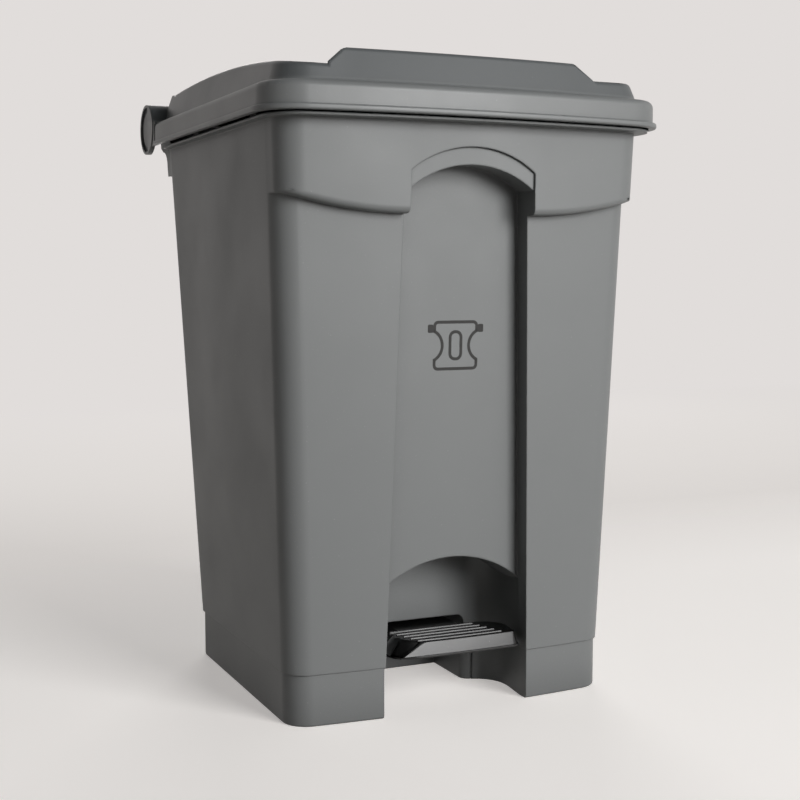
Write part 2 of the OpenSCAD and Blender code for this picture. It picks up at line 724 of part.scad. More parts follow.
buffer_x = flange_half_w - 6;
buffer_y = [-140, 40];
buffer_r = 4.5;
buffer_h = 1.8;
buffer_top_z = rim_z + buffer_h;
foot_len = 16;
roll_room = 30;
end_plate_t = 1.2;
end_plate_back = 6;
module lid() {
    color(lid_grey) difference() {
        union() {
            difference() {
                union() {
                    translate([0, 0, lid_z]) linear_extrude(ledge_z - lid_z) skirt_plan();
                    translate([0, 0, lid_z]) linear_extrude(bead_h) bowed(lid_half_w, lid_front_side,
                        hinge_y - 3, lid_corner_r, lid_turn);
                    dome();
                }
                translate([0, 0, lid_z - 1]) linear_extrude(ledge_z - lid_wall - lid_z + 1)
                    skirt_plan(lid_wall);
                dome(lid_wall);
                // the roll takes the place of the rear of the skirt
                translate([-far / 2, hinge_y - roll_room, lid_z - 50])
                    cube([far, 2 * roll_room, ledge_z - lid_wall - lid_z + 50]);
                translate([0, hinge_y, hinge_z]) rotate([0, 90, 0])
                    cylinder(r = roll_r - 0.5, h = far, center = true);
            }
            translate([0, hinge_y, hinge_z]) {
                ring_sector(roll_r, roll_r - lid_wall, roll_half_len, roll_from, roll_to);
                for (side = [-1, 1]) translate([side * (cheek_inner + cheek_t / 2), 0, 0])
                    rotate([0, 90, 0]) cylinder(r = roll_r, h = cheek_t, center = true);
                for (side = [-1, 1]) translate([side * (cheek_inner + roll_half_len) / 2, 0, 0])
                    ring_sector(roll_r, roll_r - lid_wall, (roll_half_len - cheek_inner) / 2, -188, 172);
                lug();
                // plates that carry the skirt's sides over the front half of the roll's ends
                for (side = [-1, 1]) intersection() {
                    translate([side * (roll_half_len - end_plate_t / 2), 0, 0]) rotate([0, 90, 0])
                        cylinder(r = roll_r - 0.1, h = end_plate_t, center = true);
                    translate([-far / 2, -far - end_plate_back, -far / 2]) cube(far);
                }
            }
            cove();
            // rear ends of the skirt's sides, up to the cheeks
            for (side = [-1, 1]) intersection() {
                translate([side * (skirt_half_w - lid_wall / 2) - lid_wall / 2,
                           hinge_y - roll_room - 1, lid_z])
                    cube([lid_wall, roll_room + 1, ledge_z - lid_z]);
                difference() {
                    translate([-far / 2, hinge_y - roll_room - 1, lid_z])
                        cube([far, roll_room + 1, far]);
                    translate([0, hinge_y, hinge_z]) rotate([0, 90, 0])
                        cylinder(r = roll_r - 1, h = far, center = true);
                }
            }
            // feet of the lid over the rim's buffers
            for (side = [-1, 1], y = buffer_y)
                translate([side * buffer_x - lid_wall / 2, y - foot_len / 2, buffer_top_z + fit_clear])
                    cube([lid_wall, foot_len, ledge_z - 1 - buffer_top_z - fit_clear]);
        }
        // notches that clear the arms and the rod as the lid opens
        translate([0, hinge_y, hinge_z]) {
            for (side = [-1, 1]) translate([side * (arm_inner_x - 1.2 + cheek_inner) / 2, 0, 0])
                ring_sector(roll_r + 1, roll_r - lid_wall - 1,
                            (cheek_inner - arm_inner_x + 1.2) / 2, -95, -8);
            ring_sector(roll_r + 1, roll_r - lid_wall - 1, groove_half_w + 1, -95, -45);
            for (side = [-1, 1]) translate([side * (cheek_inner + cheek_t / 2), 0, 0]) rotate([0, 90, 0])
                cylinder(r = hinge_pin_r + slip, h = cheek_t + 2, center = true);
        }
    }
}

module hinge_pin(side) {
    color(body_grey) translate([0, hinge_y, hinge_z]) rotate([0, 90 * side, 0]) {
        translate([0, 0, cheek_inner + cheek_t + slip]) cylinder(r = pin_head_r, h = head_t);
        translate([0, 0, arm_inner_x - 4])
            cylinder(r = hinge_pin_r, h = cheek_inner + cheek_t + 1 - arm_inner_x + 4);
    }
}
module hinge_pin_left() { hinge_pin(-1); }
module hinge_pin_right() { hinge_pin(1); }

module lid_buffers() {
    color(rubber_black) for (side = [-1, 1], y = buffer_y) translate([side * buffer_x, y, rim_z])
        cylinder(r = buffer_r, h = buffer_h);
}

// Pedal
neck_rear = axle_y + 34;
neck_top = slot_top_z - 5;
tread_t = 3;
lever_plate_t = 3;
lever_top_z = neck_top - 8;
lever_front = pedal_front - 26;
lever_half_w = neck_half_w - tread_t - 4;
pedal_screw_y = [-(lever_front - 16), -(neck_rear + 16)];
tread_rear = pedal_front - tread_depth;
tread_front_r = 6;
lip_r = 8;
lip_out = 1.2;
lip_t = 2;
rib_w = 1.6;
rib_h = 0.8;
rib_pitch = 9;
rib_skew = -3;
rib_half_len = 44;
boss_r_pedal = 5;
pedal_screw_x = 14;
// The tread's top: three large round corners and a tight one at the front right
module tread_top(inset = 0) {
    r = tread_r - inset;
    front_r = tread_front_r - min(inset, 4);
    left = inset - tread_left;
    right = tread_right - inset;
    front = inset - pedal_front;
    rear = -tread_rear - inset;
    polygon(concat(
        arc_points(left + r, front + r, r, 180, 270, 10),
        arc_points(right - front_r, front + front_r, front_r, 270, 360, 6),
        arc_points(right - r, rear - r, r, 0, 90, 10),
        arc_points(left + r, rear - r, r, 90, 180, 10)));
}
module lip_plan(inset = 0) {
    r = lip_r - inset;
    w = pedal_half_w - inset;
    front = inset - pedal_front;
    rear = -tread_rear - inset;
    polygon(concat(
        arc_points(r - w, front + r, r, 180, 270, 6),
        arc_points(w - r, front + r, r, 270, 360, 6),
        arc_points(w - tread_r, rear - tread_r, tread_r, 0, 90, 10),
        arc_points(tread_r - w, rear - tread_r, tread_r, 90, 180, 10)));
}
module tread_block(inset, low, high) {
    hull() {
        translate([0, 0, low]) linear_extrude(eps) lip_plan(inset);
        translate([0, 0, high - eps]) linear_extrude(eps) tread_top(inset);
    }
}
module neck_plan(inset = 0) {
    translate([-neck_half_w + inset, -tread_rear - 8])
        square([2 * (neck_half_w - inset), tread_rear + 8 - neck_rear - inset]);
}
module at_pedal_screws() {
    for (y = pedal_screw_y, x = [-pedal_screw_x, pedal_screw_x]) translate([x, y]) children();
}
module pedal() {
    apron_z = pedal_top_z - apron_h;
    color(pedal_black) difference() {
        union() {
            tread_block(0, apron_z, pedal_top_z);
            translate([0, 0, apron_z]) linear_extrude(lip_t) lip_plan(-lip_out);
            translate([0, 0, lever_top_z]) linear_extrude(neck_top - lever_top_z) neck_plan();
            for (i = [0:tread_ribs - 1])
                translate([rib_skew * (i - 1.5) - rib_half_len, -pedal_front + 4.5 + i * rib_pitch,
                           pedal_top_z - 1])
                    cube([2 * rib_half_len, rib_w, rib_h + 1]);
        }
        // the tread and the neck are shells, open below, with bosses for the screws
        difference() {
            tread_block(tread_t, apron_z - 1, pedal_top_z - tread_t);
            at_pedal_screws() cylinder(r = boss_r_pedal, h = far);
        }
        translate([0, 0, lever_top_z - 1]) linear_extrude(neck_top - lever_top_z + 1 - tread_t)
            difference() {
                neck_plan(tread_t);
                at_pedal_screws() circle(boss_r_pedal);
            }
        // the lever's plate lies in the open underside
        translate([-lever_half_w - 1, -lever_front - 1, lever_top_z - 20])
            cube([2 * lever_half_w + 2, lever_front, 20]);
        translate([0, 0, lever_top_z - 1]) at_pedal_screws() cylinder(r = base_screw_r + slip, h = 6);
    }
}
module pedal_lever() {
    color(steel_grey) difference() {
        union() {
            translate([-lever_half_w, -lever_front, lever_top_z - fit_clear - lever_plate_t])
                cube([2 * lever_half_w, lever_front - axle_y, lever_plate_t]);
            // side flanges down to the hub
            for (side = [-1, 1]) translate([side * (lever_half_w - 1.5), 0, 0]) rotate([90, 0, 90])
                linear_extrude(3, center = true) polygon([[-lever_front + 10, lever_top_z - 1],
                    [-axle_y + 6, lever_top_z - 1], [-axle_y + 9, axle_z], [-axle_y, axle_z - 9],
                    [-lever_front + 10, lever_top_z - 8]]);
            translate([0, -axle_y, axle_z]) rotate([0, 90, 0])
                cylinder(r = 9, h = 2 * (slot_half_w - 2.5), center = true);
            // rear arm with the eye
            rotate([90, 0, 90]) linear_extrude(lug_t, center = true) difference() {
                union() {
                    polygon([[-axle_y, axle_z + 9], [-axle_y, axle_z - 9], [rod_foot_y, rod_foot_z - 8.5],
                             [rod_foot_y, rod_foot_z + 8.5]]);
                    translate([rod_foot_y, rod_foot_z]) circle(8.5);
                }
            }
        }
        eye_slot();
        translate([0, -axle_y, axle_z]) rotate([0, 90, 0])
            cylinder(r = axle_r + slip, h = 2 * slot_half_w, center = true);
        translate([0, 0, lever_top_z - 10]) at_pedal_screws()
            cylinder(r = base_screw_r + fit_clear, h = 12);
    }
}
// Where the rod's lower pin ends up in the lever's own frame when the pedal is pressed home
eye_far = [rod_foot_y + rod_travel * sin(rod_lean) + axle_y, rod_foot_z + rod_rise - axle_z];
eye_end = [eye_far.x * cos(pedal_swing) + eye_far.y * sin(pedal_swing) - axle_y,
           eye_far.y * cos(pedal_swing) - eye_far.x * sin(pedal_swing) + axle_z];
eye_play = 0.4;
module eye_slot() {
    slot_r = rod_r + eye_play;
    reach = eye_end - [rod_foot_y, rod_foot_z];
    rotate([90, 0, 90]) linear_extrude(lug_t + 2, center = true) translate([rod_foot_y, rod_foot_z])
        rotate(atan2(reach.y, reach.x)) {
            for (x = [0, norm(reach)]) translate([x, 0]) circle(slot_r);
            translate([0, -slot_r]) square([norm(reach), 2 * slot_r]);
        }
}

module pedal_screws() {
    color(steel_grey) translate([0, 0, lever_top_z - fit_clear - lever_plate_t]) at_pedal_screws() {
        cylinder(r = base_screw_r, h = lever_plate_t + 4.5);
        translate([0, 0, -2]) cylinder(r = 2 * base_screw_r, h = 2);
    }
}
axle_half_len = slot_half_w + 14;
module pedal_axle() {
    color(steel_grey) translate([0, -axle_y, axle_z]) rotate([0, 90, 0])
        cylinder(r = axle_r, h = 2 * axle_half_len, center = true);
}
bush_flange_t = 1.5;
module axle_bushes() {
    color(nylon_white) for (side = [-1, 1]) translate([0, -axle_y, axle_z]) rotate([0, 90 * side, 0])
        difference() {
            union() {
                translate([0, 0, slot_half_w - bush_flange_t]) cylinder(r = bush_r + 2, h = bush_flange_t);
                translate([0, 0, slot_half_w - eps]) cylinder(r = bush_r, h = 10);
            }
            translate([0, 0, slot_half_w - 5]) cylinder(r = axle_r + run_clear, h = 20);
        }
}
module axle_clips() {
    color(steel_grey) for (side = [-1, 1]) translate([0, -axle_y, axle_z]) rotate([0, 90 * side, 0])
        translate([0, 0, slot_half_w + 10 + fit_clear]) difference() {
            cylinder(r = axle_r + 3, h = 1.2);
            translate([0, 0, -1]) cylinder(r = axle_r + slip, h = 4);
        }
}

// Lift rod: both ends bend towards +X and end in a pin
module rod_bend(up) {
    translate([rod_x + rod_bend_r, 0, 0]) mirror([0, 0, up ? 0 : 1]) rotate([-90, 0, 0])
        rotate_extrude(angle = 90) translate([-rod_bend_r, 0]) circle(rod_r);
}
module lift_rod() {
    color(steel_grey) {
        along_rod(rod_bend_r) translate([rod_x, 0, 0]) cylinder(r = rod_r, h = rod_len - 2 * rod_bend_r);
        along_rod(rod_bend_r) rod_bend(false);
        along_rod(rod_len - rod_bend_r) rod_bend(true);
        for (distance = [0, rod_len]) along_rod(distance) translate([rod_x + rod_bend_r, 0, 0])
            rotate([0, 90, 0]) cylinder(r = rod_r, h = rod_pin_end - rod_x - rod_bend_r);
    }
}
module pin_clip(distance) {
    color(steel_grey) along_rod(distance) translate([lug_t / 2 + 1.2, 0, 0]) rotate([0, 90, 0])
        difference() {
            cylinder(r = rod_r + 3, h = 1.2);
            translate([0, 0, -1]) cylinder(r = rod_r + slip, h = 4);
        }
}
module rod_foot_clip() { pin_clip(0); }
module rod_top_clip() { pin_clip(rod_len); }

module rod_guide(distance) {
    color(nylon_white) along_rod(distance) difference() {
        union() {
            translate([rod_x - 5.5, -groove_depth + slip, 0]) cube([11, groove_depth + 6, guide_h]);
            translate([rod_x, -groove_depth + slip, 0])
                cube([groove_half_w - 1 - rod_x, guide_flange_t, guide_h]);
        }
        translate([rod_x, 0, -1]) cylinder(r = rod_r + run_clear, h = guide_h + 2);
        for (x = guide_screw_x) translate([x, -groove_depth - 1, guide_h / 2]) rotate([-90, 0, 0])
            cylinder(r = guide_screw_r + slip, h = 12);
    }
}
module rod_guide_lower() { rod_guide(guide_low); }
module rod_guide_upper() { rod_guide(guide_high); }
module guide_screws() {
    color(steel_grey) at_guide_screws() {
        translate([0, 0, -5]) cylinder(r = guide_screw_r, h = 5 + guide_flange_t + 2 * slip);
        translate([0, 0, guide_flange_t + 2 * slip]) cylinder(r = 2 * guide_screw_r, h = 2);
    }
}

module pedal_stop() {
    color(rubber_black) translate([-12, -cross_wall_front, cross_wall_h]) cube([24, wall, 2]);
}

body();
base();
base_screws();
lid();
hinge_pin_left();
hinge_pin_right();
lid_buffers();
pedal();
pedal_lever();
pedal_screws();
pedal_axle();
axle_bushes();
axle_clips();
lift_rod();
rod_foot_clip();
rod_top_clip();
rod_guide_lower();
rod_guide_upper();
guide_screws();
pedal_stop();
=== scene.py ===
"""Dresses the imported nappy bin: a grey moulded tub on its base, a domed lid and a black foot pedal."""

import logging
import math
from dataclasses import dataclass
from enum import Enum
from typing import Any, Callable

import bmesh
import bpy
from mathutils import Matrix, Vector


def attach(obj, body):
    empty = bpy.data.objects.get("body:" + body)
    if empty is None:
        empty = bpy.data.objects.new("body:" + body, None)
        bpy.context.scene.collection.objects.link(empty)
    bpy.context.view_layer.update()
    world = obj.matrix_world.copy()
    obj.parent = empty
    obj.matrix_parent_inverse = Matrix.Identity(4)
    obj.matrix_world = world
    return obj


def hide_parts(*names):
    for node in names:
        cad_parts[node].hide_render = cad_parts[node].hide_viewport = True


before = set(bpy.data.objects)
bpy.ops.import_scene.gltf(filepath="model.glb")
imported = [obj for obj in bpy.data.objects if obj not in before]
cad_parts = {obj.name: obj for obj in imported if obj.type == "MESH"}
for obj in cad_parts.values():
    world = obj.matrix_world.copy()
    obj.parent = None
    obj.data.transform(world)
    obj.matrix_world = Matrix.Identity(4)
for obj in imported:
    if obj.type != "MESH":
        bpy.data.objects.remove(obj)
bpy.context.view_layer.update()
log = logging.getLogger("nappy_bin")

MM = 0.001
# points nearer than this merge, and faces that meet at less than this angle are one flat face
MERGE_MM = 0.03
FLAT_DEG = 0.05
# edges flatter than this are never rounded
SHARP_DEG = 20.0
# how near in mm a point is to a place that it counts as on
NEAR = 0.1
# the part of an edge's outward direction past which it counts as facing that way
TILT = 0.3
# a colour Mix node's sockets, by number
SHARE, FIRST, SECOND, MIXED = 0, 6, 7, 2

Point = tuple[float, float, float]
Span = tuple[float, float]
Colour = tuple[float, float, float, float]
Socket = bpy.types.NodeSocket


class Body(str, Enum):
    """The moving bodies that the new pieces ride on."""

    BIN = "bin"
    LID = "lid"
    PEDAL = "pedal"


class Stock(Enum):
    """What the small fittings are made of."""

    STEEL = "steel"
    NYLON = "nylon"
    RUBBER = "rubber"


def linear(hex_colour: str) -> Colour:
    """Turns an sRGB hex colour into linear values.

    Args:
        hex_colour: Six hex digits, such as "8a8c8c".

    Returns:
        Red, green, blue and alpha, linear.
    """
    parts = [int(hex_colour[i : i + 2], 16) / 255 for i in (0, 2, 4)]
    red, green, blue = (c / 12.92 if c <= 0.04045 else ((c + 0.055) / 1.055) ** 2.4 for c in parts)
    return red, green, blue, 1.0


def add_node(tree: bpy.types.NodeTree, kind: str, links: dict[Any, Any] | None = None,
             **settings: Any) -> Any:
    """Adds a shader node.

    Args:
        tree: The material's node tree.
        kind: The node's type name.
        links: For each input, by name or number, a socket to link or a plain value.
        settings: Attributes of the node.

    Returns:
        The new node.
    """
    node = tree.nodes.new(kind)
    for name, value in settings.items():
        setattr(node, name, value)
    for key, value in (links or {}).items():
        if isinstance(value, Socket):
            tree.links.new(value, node.inputs[key])
        else:
            node.inputs[key].default_value = value
    return node


def empty_tree(owner: bpy.types.Material | bpy.types.World) -> bpy.types.NodeTree:
    """Gives a material or a world an empty node tree."""
    owner.use_nodes = True
    owner.node_tree.nodes.clear()
    return owner.node_tree


def between_0_and_1(value: float) -> float:
    """Keeps a share between 0 and 1."""
    return min(1.0, max(0.0, value))


def select_none() -> None:
    """Leaves edit mode and deselects every object."""
    if bpy.context.object and bpy.context.object.mode != "OBJECT":
        bpy.ops.object.mode_set(mode="OBJECT")
    bpy.ops.object.select_all(action="DESELECT")


def make_active(piece: bpy.types.Object) -> None:
    """Selects one object alone and makes it active."""
    select_none()
    piece.select_set(True)
    bpy.context.view_layer.objects.active = piece


def pick(piece: bpy.types.Object, kind: str, wanted: Callable[[Any], bool]) -> None:
    """Selects, in edit mode, only the edges or faces that a rule wants.

    Args:
        piece: The piece in edit mode.
        kind: "EDGE" or "FACE".
        wanted: Says whether an edge or a face is wanted.
    """
    bpy.ops.mesh.select_mode(type=kind)
    bpy.ops.mesh.select_all(action="DESELECT")
    data = bmesh.from_edit_mesh(piece.data)
    for item in data.edges if kind == "EDGE" else data.faces:
        item.select_set(wanted(item))
    bmesh.update_edit_mesh(piece.data)


# ------------------------------------------------------------------ finishes


@dataclass(frozen=True)
class MouldedPlastic:
    """An injection-moulded plastic with a spark-eroded matte grain.

    The eye sees a soft, broad sheen, a grain that just breaks up the highlights, faint clouds of tone
    from the melt's flow, a few pale hairline scratches and specks of dust, painted shade in the crevices
    and, where asked, painted shade above a height.
    """

    name: str
    colour: str
    tint: str
    roughness: float
    mark_colour: str = "b9bab8"
    cloud_mm: float = 90.0
    grain_mm: float = 1.6
    grain_depth_mm: float = 0.05
    speck_gap_mm: float = 14.0
    speck_reach: Span = (0.028, 0.05)
    scratch_turn: Point = (0.5, 0.9, 0.4)
    scratch_scale: Point = (900.0, 110.0, 900.0)
    scratch_level: Span = (0.80, 0.84)
    scratch_strength: float = 0.7
    scuffs: float = 0.22
    edge_mm: float = 1.2
    crevice_mm: float = 60.0
    crevice_level: Span = (0.1, 0.9)
    crevice_shade_tone: float = 0.4
    painted_shade_above_mm: float = 0.0
    painted_shade_above: float = 1.0
    painted_shade_run_mm: float = 4.0
    painted_shade_cast: Point = (0.97, 1.0, 1.02)

    def marked(self, tree: bpy.types.NodeTree, place: Socket, clouds: Socket) -> Socket:
        """Mixes the two tones of the plastic by its flow clouds, and lays dust and scratches on them.

        Args:
            tree: The material's node tree.
            place: The point's place.
            clouds: The flow clouds.

        Returns:
            The colour.
        """
        # specks of dust, about 1 mm wide, one to each cell
        specks = add_node(tree, "ShaderNodeTexVoronoi", {
            "Vector": place, "Scale": 1 / (self.speck_gap_mm * MM)}, feature="F1", distance="EUCLIDEAN")
        speck_mask = add_node(tree, "ShaderNodeMapRange", {
            "Value": specks.outputs["Distance"], "From Min": self.speck_reach[0],
            "From Max": self.speck_reach[1], "To Min": 1.0, "To Max": 0.0})
        # hairline scratches from handling, about 1 mm wide at most and 9 mm long, in a few places only
        turned = add_node(tree, "ShaderNodeMapping", {
            "Vector": place, "Rotation": self.scratch_turn, "Scale": self.scratch_scale})
        streaks = add_node(tree, "ShaderNodeTexNoise", {
            "Vector": turned.outputs[0], "Scale": 1.0, "Detail": 0.0})
        streak_mask = add_node(tree, "ShaderNodeMapRange", {
            "Value": streaks.outputs["Fac"], "From Min": self.scratch_level[0],
            "From Max": self.scratch_level[1], "To Min": 0.0, "To Max": self.scratch_strength})
        base = add_node(tree, "ShaderNodeMix", {
            SHARE: clouds, FIRST: linear(self.colour), SECOND: linear(self.tint)}, data_type="RGBA")
        marks = add_node(tree, "ShaderNodeMath", {
            0: speck_mask.outputs[0], 1: streak_mask.outputs[0]}, operation="MAXIMUM")
        strength = add_node(tree, "ShaderNodeMath", {0: marks.outputs[0], 1: self.scuffs},
                            operation="MULTIPLY")
        return add_node(tree, "ShaderNodeMix", {
            SHARE: strength.outputs[0], FIRST: base.outputs[MIXED], SECOND: linear(self.mark_colour)},
            data_type="RGBA").outputs[MIXED]

    def painted_crevice_shade(self, tree: bpy.types.NodeTree, colour: Socket) -> Socket:
        """Paints shade into the gaps and corners: the less open space a point sees, the darker its colour.

        Args:
            tree: The material's node tree.
            colour: The colour so far.

        Returns:
            The colour.
        """
        # painted shade: ambient occlusion darkens the colour in crevices
        open_sky = add_node(tree, "ShaderNodeAmbientOcclusion", {"Distance": self.crevice_mm * MM},
                            samples=6)
        dust = add_node(tree, "ShaderNodeMapRange", {
            "Value": open_sky.outputs["AO"], "From Min": self.crevice_level[0],
            "From Max": self.crevice_level[1], "To Min": self.crevice_shade_tone, "To Max": 1.0})
        return add_node(tree, "ShaderNodeMix", {SHARE: 1.0, FIRST: colour, SECOND: dust.outputs[0]},
                        data_type="RGBA", blend_type="MULTIPLY").outputs[MIXED]

    def toned(self, tree: bpy.types.NodeTree, place: Socket, colour: Socket) -> Socket:
        """Paints shade on the skin above a height, making it darker and cooler, as the lid's dome looks
        beside its skirt.

        Args:
            tree: The material's node tree.
            place: The point's place.
            colour: The colour so far.

        Returns:
            The colour.
        """
        height = add_node(tree, "ShaderNodeSeparateXYZ", {0: place})
        # painted shade: the colour darkens and cools above a height
        above = add_node(tree, "ShaderNodeMapRange", {
            "Value": height.outputs["Z"], "From Min": self.painted_shade_above_mm * MM,
            "From Max": (self.painted_shade_above_mm + self.painted_shade_run_mm) * MM, "To Min": 0.0, "To Max": 1.0})
        red, green, blue = (self.painted_shade_above * part for part in self.painted_shade_cast)
        darker = add_node(tree, "ShaderNodeMix", {
            SHARE: 1.0, FIRST: colour, SECOND: (red, green, blue, 1.0)}, data_type="RGBA",
            blend_type="MULTIPLY")
        return add_node(tree, "ShaderNodeMix", {
            SHARE: above.outputs[0], FIRST: colour, SECOND: darker.outputs[MIXED]},
            data_type="RGBA").outputs[MIXED]

    def build(self) -> bpy.types.Material:
        """Builds the material.

        Returns:
            The finished material.
        """
        material = bpy.data.materials.new(self.name)
        tree = empty_tree(material)
        place = add_node(tree, "ShaderNodeTexCoord").outputs["Object"]
        clouds = add_node(tree, "ShaderNodeTexNoise", {
            "Vector": place, "Scale": 1 / (self.cloud_mm * MM), "Detail": 4.0,
            "Roughness": 0.55}).outputs["Fac"]
        # painted shade darkens the crevices
        colour = self.painted_crevice_shade(tree, self.marked(tree, place, clouds))
        # the lid's dome gets painted shade above a height
        if self.painted_shade_above_mm:
            colour = self.toned(tree, place, colour)
        sheen = add_node(tree, "ShaderNodeMapRange", {
            "Value": clouds, "From Min": 0.3, "From Max": 0.7, "To Min": self.roughness - 0.04,
            "To Max": self.roughness + 0.05})
        grain = add_node(tree, "ShaderNodeTexNoise", {
            "Vector": place, "Scale": 1 / (self.grain_mm * MM), "Detail": 2.0})
        soft_edges = add_node(tree, "ShaderNodeBevel", {"Radius": self.edge_mm * MM}, samples=6)
        bump = add_node(tree, "ShaderNodeBump", {
            "Height": grain.outputs["Fac"], "Strength": 0.6, "Distance": self.grain_depth_mm * MM,
            "Normal": soft_edges.outputs[0]})
        skin = add_node(tree, "ShaderNodeBsdfPrincipled", {
            "Base Color": colour, "IOR": 1.49, "Roughness": sheen.outputs[0], "Normal": bump.outputs[0]})
        add_node(tree, "ShaderNodeOutputMaterial", {"Surface": skin.outputs[0]})
        return material


@dataclass(frozen=True)
class DrawnSteel:
    """Zinc-plated drawn steel: a cool grey with fine upright lines and dull patches in the plating."""

    name: str
    colour: str = "b9bcbe"
    roughness: float = 0.32
    line_scale: Point = (2500.0, 2500.0, 60.0)
    patch_mm: float = 12.0

    def build(self) -> bpy.types.Material:
        """Builds the material.

        Returns:
            The finished material.
        """
        material = bpy.data.materials.new(self.name)
        tree = empty_tree(material)
        place = add_node(tree, "ShaderNodeTexCoord").outputs["Object"]
        # lines about 0.4 mm wide and 17 mm long
        stretch = add_node(tree, "ShaderNodeMapping", {"Vector": place, "Scale": self.line_scale})
        lines = add_node(tree, "ShaderNodeTexNoise", {
            "Vector": stretch.outputs[0], "Scale": 1.0, "Detail": 2.0})
        patches = add_node(tree, "ShaderNodeTexNoise", {
            "Vector": place, "Scale": 1 / (self.patch_mm * MM), "Detail": 3.0})
        sheen = add_node(tree, "ShaderNodeMapRange", {
            "Value": patches.outputs["Fac"], "From Min": 0.35, "From Max": 0.65,
            "To Min": self.roughness - 0.08, "To Max": self.roughness + 0.12})
        bump = add_node(tree, "ShaderNodeBump", {
            "Height": lines.outputs["Fac"], "Strength": 0.25, "Distance": 0.02 * MM})
        skin = add_node(tree, "ShaderNodeBsdfPrincipled", {
            "Base Color": linear(self.colour), "Metallic": 1.0, "Roughness": sheen.outputs[0],
            "Normal": bump.outputs[0]})
        add_node(tree, "ShaderNodeOutputMaterial", {"Surface": skin.outputs[0]})
        return material


@dataclass(frozen=True)
class ScreenInk:
    """Screen-printed ink on plastic: a dense, flat, slightly duller black whose tone varies with the mesh."""

    name: str
    colour: str = "171615"
    tint: str = "1f1e1c"
    mesh_mm: float = 0.8

    def build(self) -> bpy.types.Material:
        """Builds the material.

        Returns:
            The finished material.
        """
        material = bpy.data.materials.new(self.name)
        tree = empty_tree(material)
        place = add_node(tree, "ShaderNodeTexCoord").outputs["Object"]
        # pinholes left by the screen's mesh, drawn coarser than the real ones so that they show
        mesh = add_node(tree, "ShaderNodeTexNoise", {
            "Vector": place, "Scale": 1 / (self.mesh_mm * MM), "Detail": 2.0})
        tone = add_node(tree, "ShaderNodeMix", {
            SHARE: mesh.outputs["Fac"], FIRST: linear(self.colour), SECOND: linear(self.tint)},
            data_type="RGBA")
        skin = add_node(tree, "ShaderNodeBsdfPrincipled", {
            "Base Color": tone.outputs[MIXED], "Roughness": 0.62})
        add_node(tree, "ShaderNodeOutputMaterial", {"Surface": skin.outputs[0]})
        return material


@dataclass(frozen=True)
class SoftPolymer:
    """Natural nylon, which lets a little light in, or dull rubber, moulded small with faint flow clouds."""

    name: str
    colour: str
    tint: str
    roughness: float
    depth_mm: float = 0.0
    cloud_mm: float = 6.0
    grain_mm: float = 0.6

    def build(self) -> bpy.types.Material:
        """Builds the material.

        Returns:
            The finished material.
        """
        material = bpy.data.materials.new(self.name)
        tree = empty_tree(material)
        place = add_node(tree, "ShaderNodeTexCoord").outputs["Object"]
        clouds = add_node(tree, "ShaderNodeTexNoise", {
            "Vector": place, "Scale": 1 / (self.cloud_mm * MM), "Detail": 3.0})
        grain = add_node(tree, "ShaderNodeTexNoise", {
            "Vector": place, "Scale": 1 / (self.grain_mm * MM), "Detail": 1.0})
        tone = add_node(tree, "ShaderNodeMix", {
            SHARE: clouds.outputs["Fac"], FIRST: linear(self.colour), SECOND: linear(self.tint)},
            data_type="RGBA")
        bump = add_node(tree, "ShaderNodeBump", {
            "Height": grain.outputs["Fac"], "Strength": 0.4, "Distance": 0.03 * MM})
        skin = add_node(tree, "ShaderNodeBsdfPrincipled", {
            "Base Color": tone.outputs[MIXED], "IOR": 1.52, "Roughness": self.roughness,
            "Normal": bump.outputs[0]})
        if self.depth_mm:
            skin.inputs["Subsurface Weight"].default_value = 0.3
            skin.inputs["Subsurface Scale"].default_value = self.depth_mm * MM
        add_node(tree, "ShaderNodeOutputMaterial", {"Surface": skin.outputs[0]})
        return material


# ------------------------------------------------------------------ shaping


@dataclass(frozen=True)
class EdgePlace:
    """An edge of a moulding, as the rule for its rounding sees it. Lengths are in mm."""

    middle: Vector
    ends: tuple[Vector, Vector]
    outward: Vector
    convex: bool

    def level(self, z: float, slack: float = 0.15) -> bool:
        """Says whether both ends lie at a height."""
        return all(abs(end.z - z) < slack for end in self.ends)

    def faces_out(self) -> bool:
        """Says whether the edge looks away from the bin's upright middle line."""
        flat = Vector((self.middle.x, self.middle.y))
        return flat.dot(Vector((self.outward.x, self.outward.y))) > 0


RadiusRule = Callable[[EdgePlace], float]
Shaper = Callable[[bpy.types.Object], None]


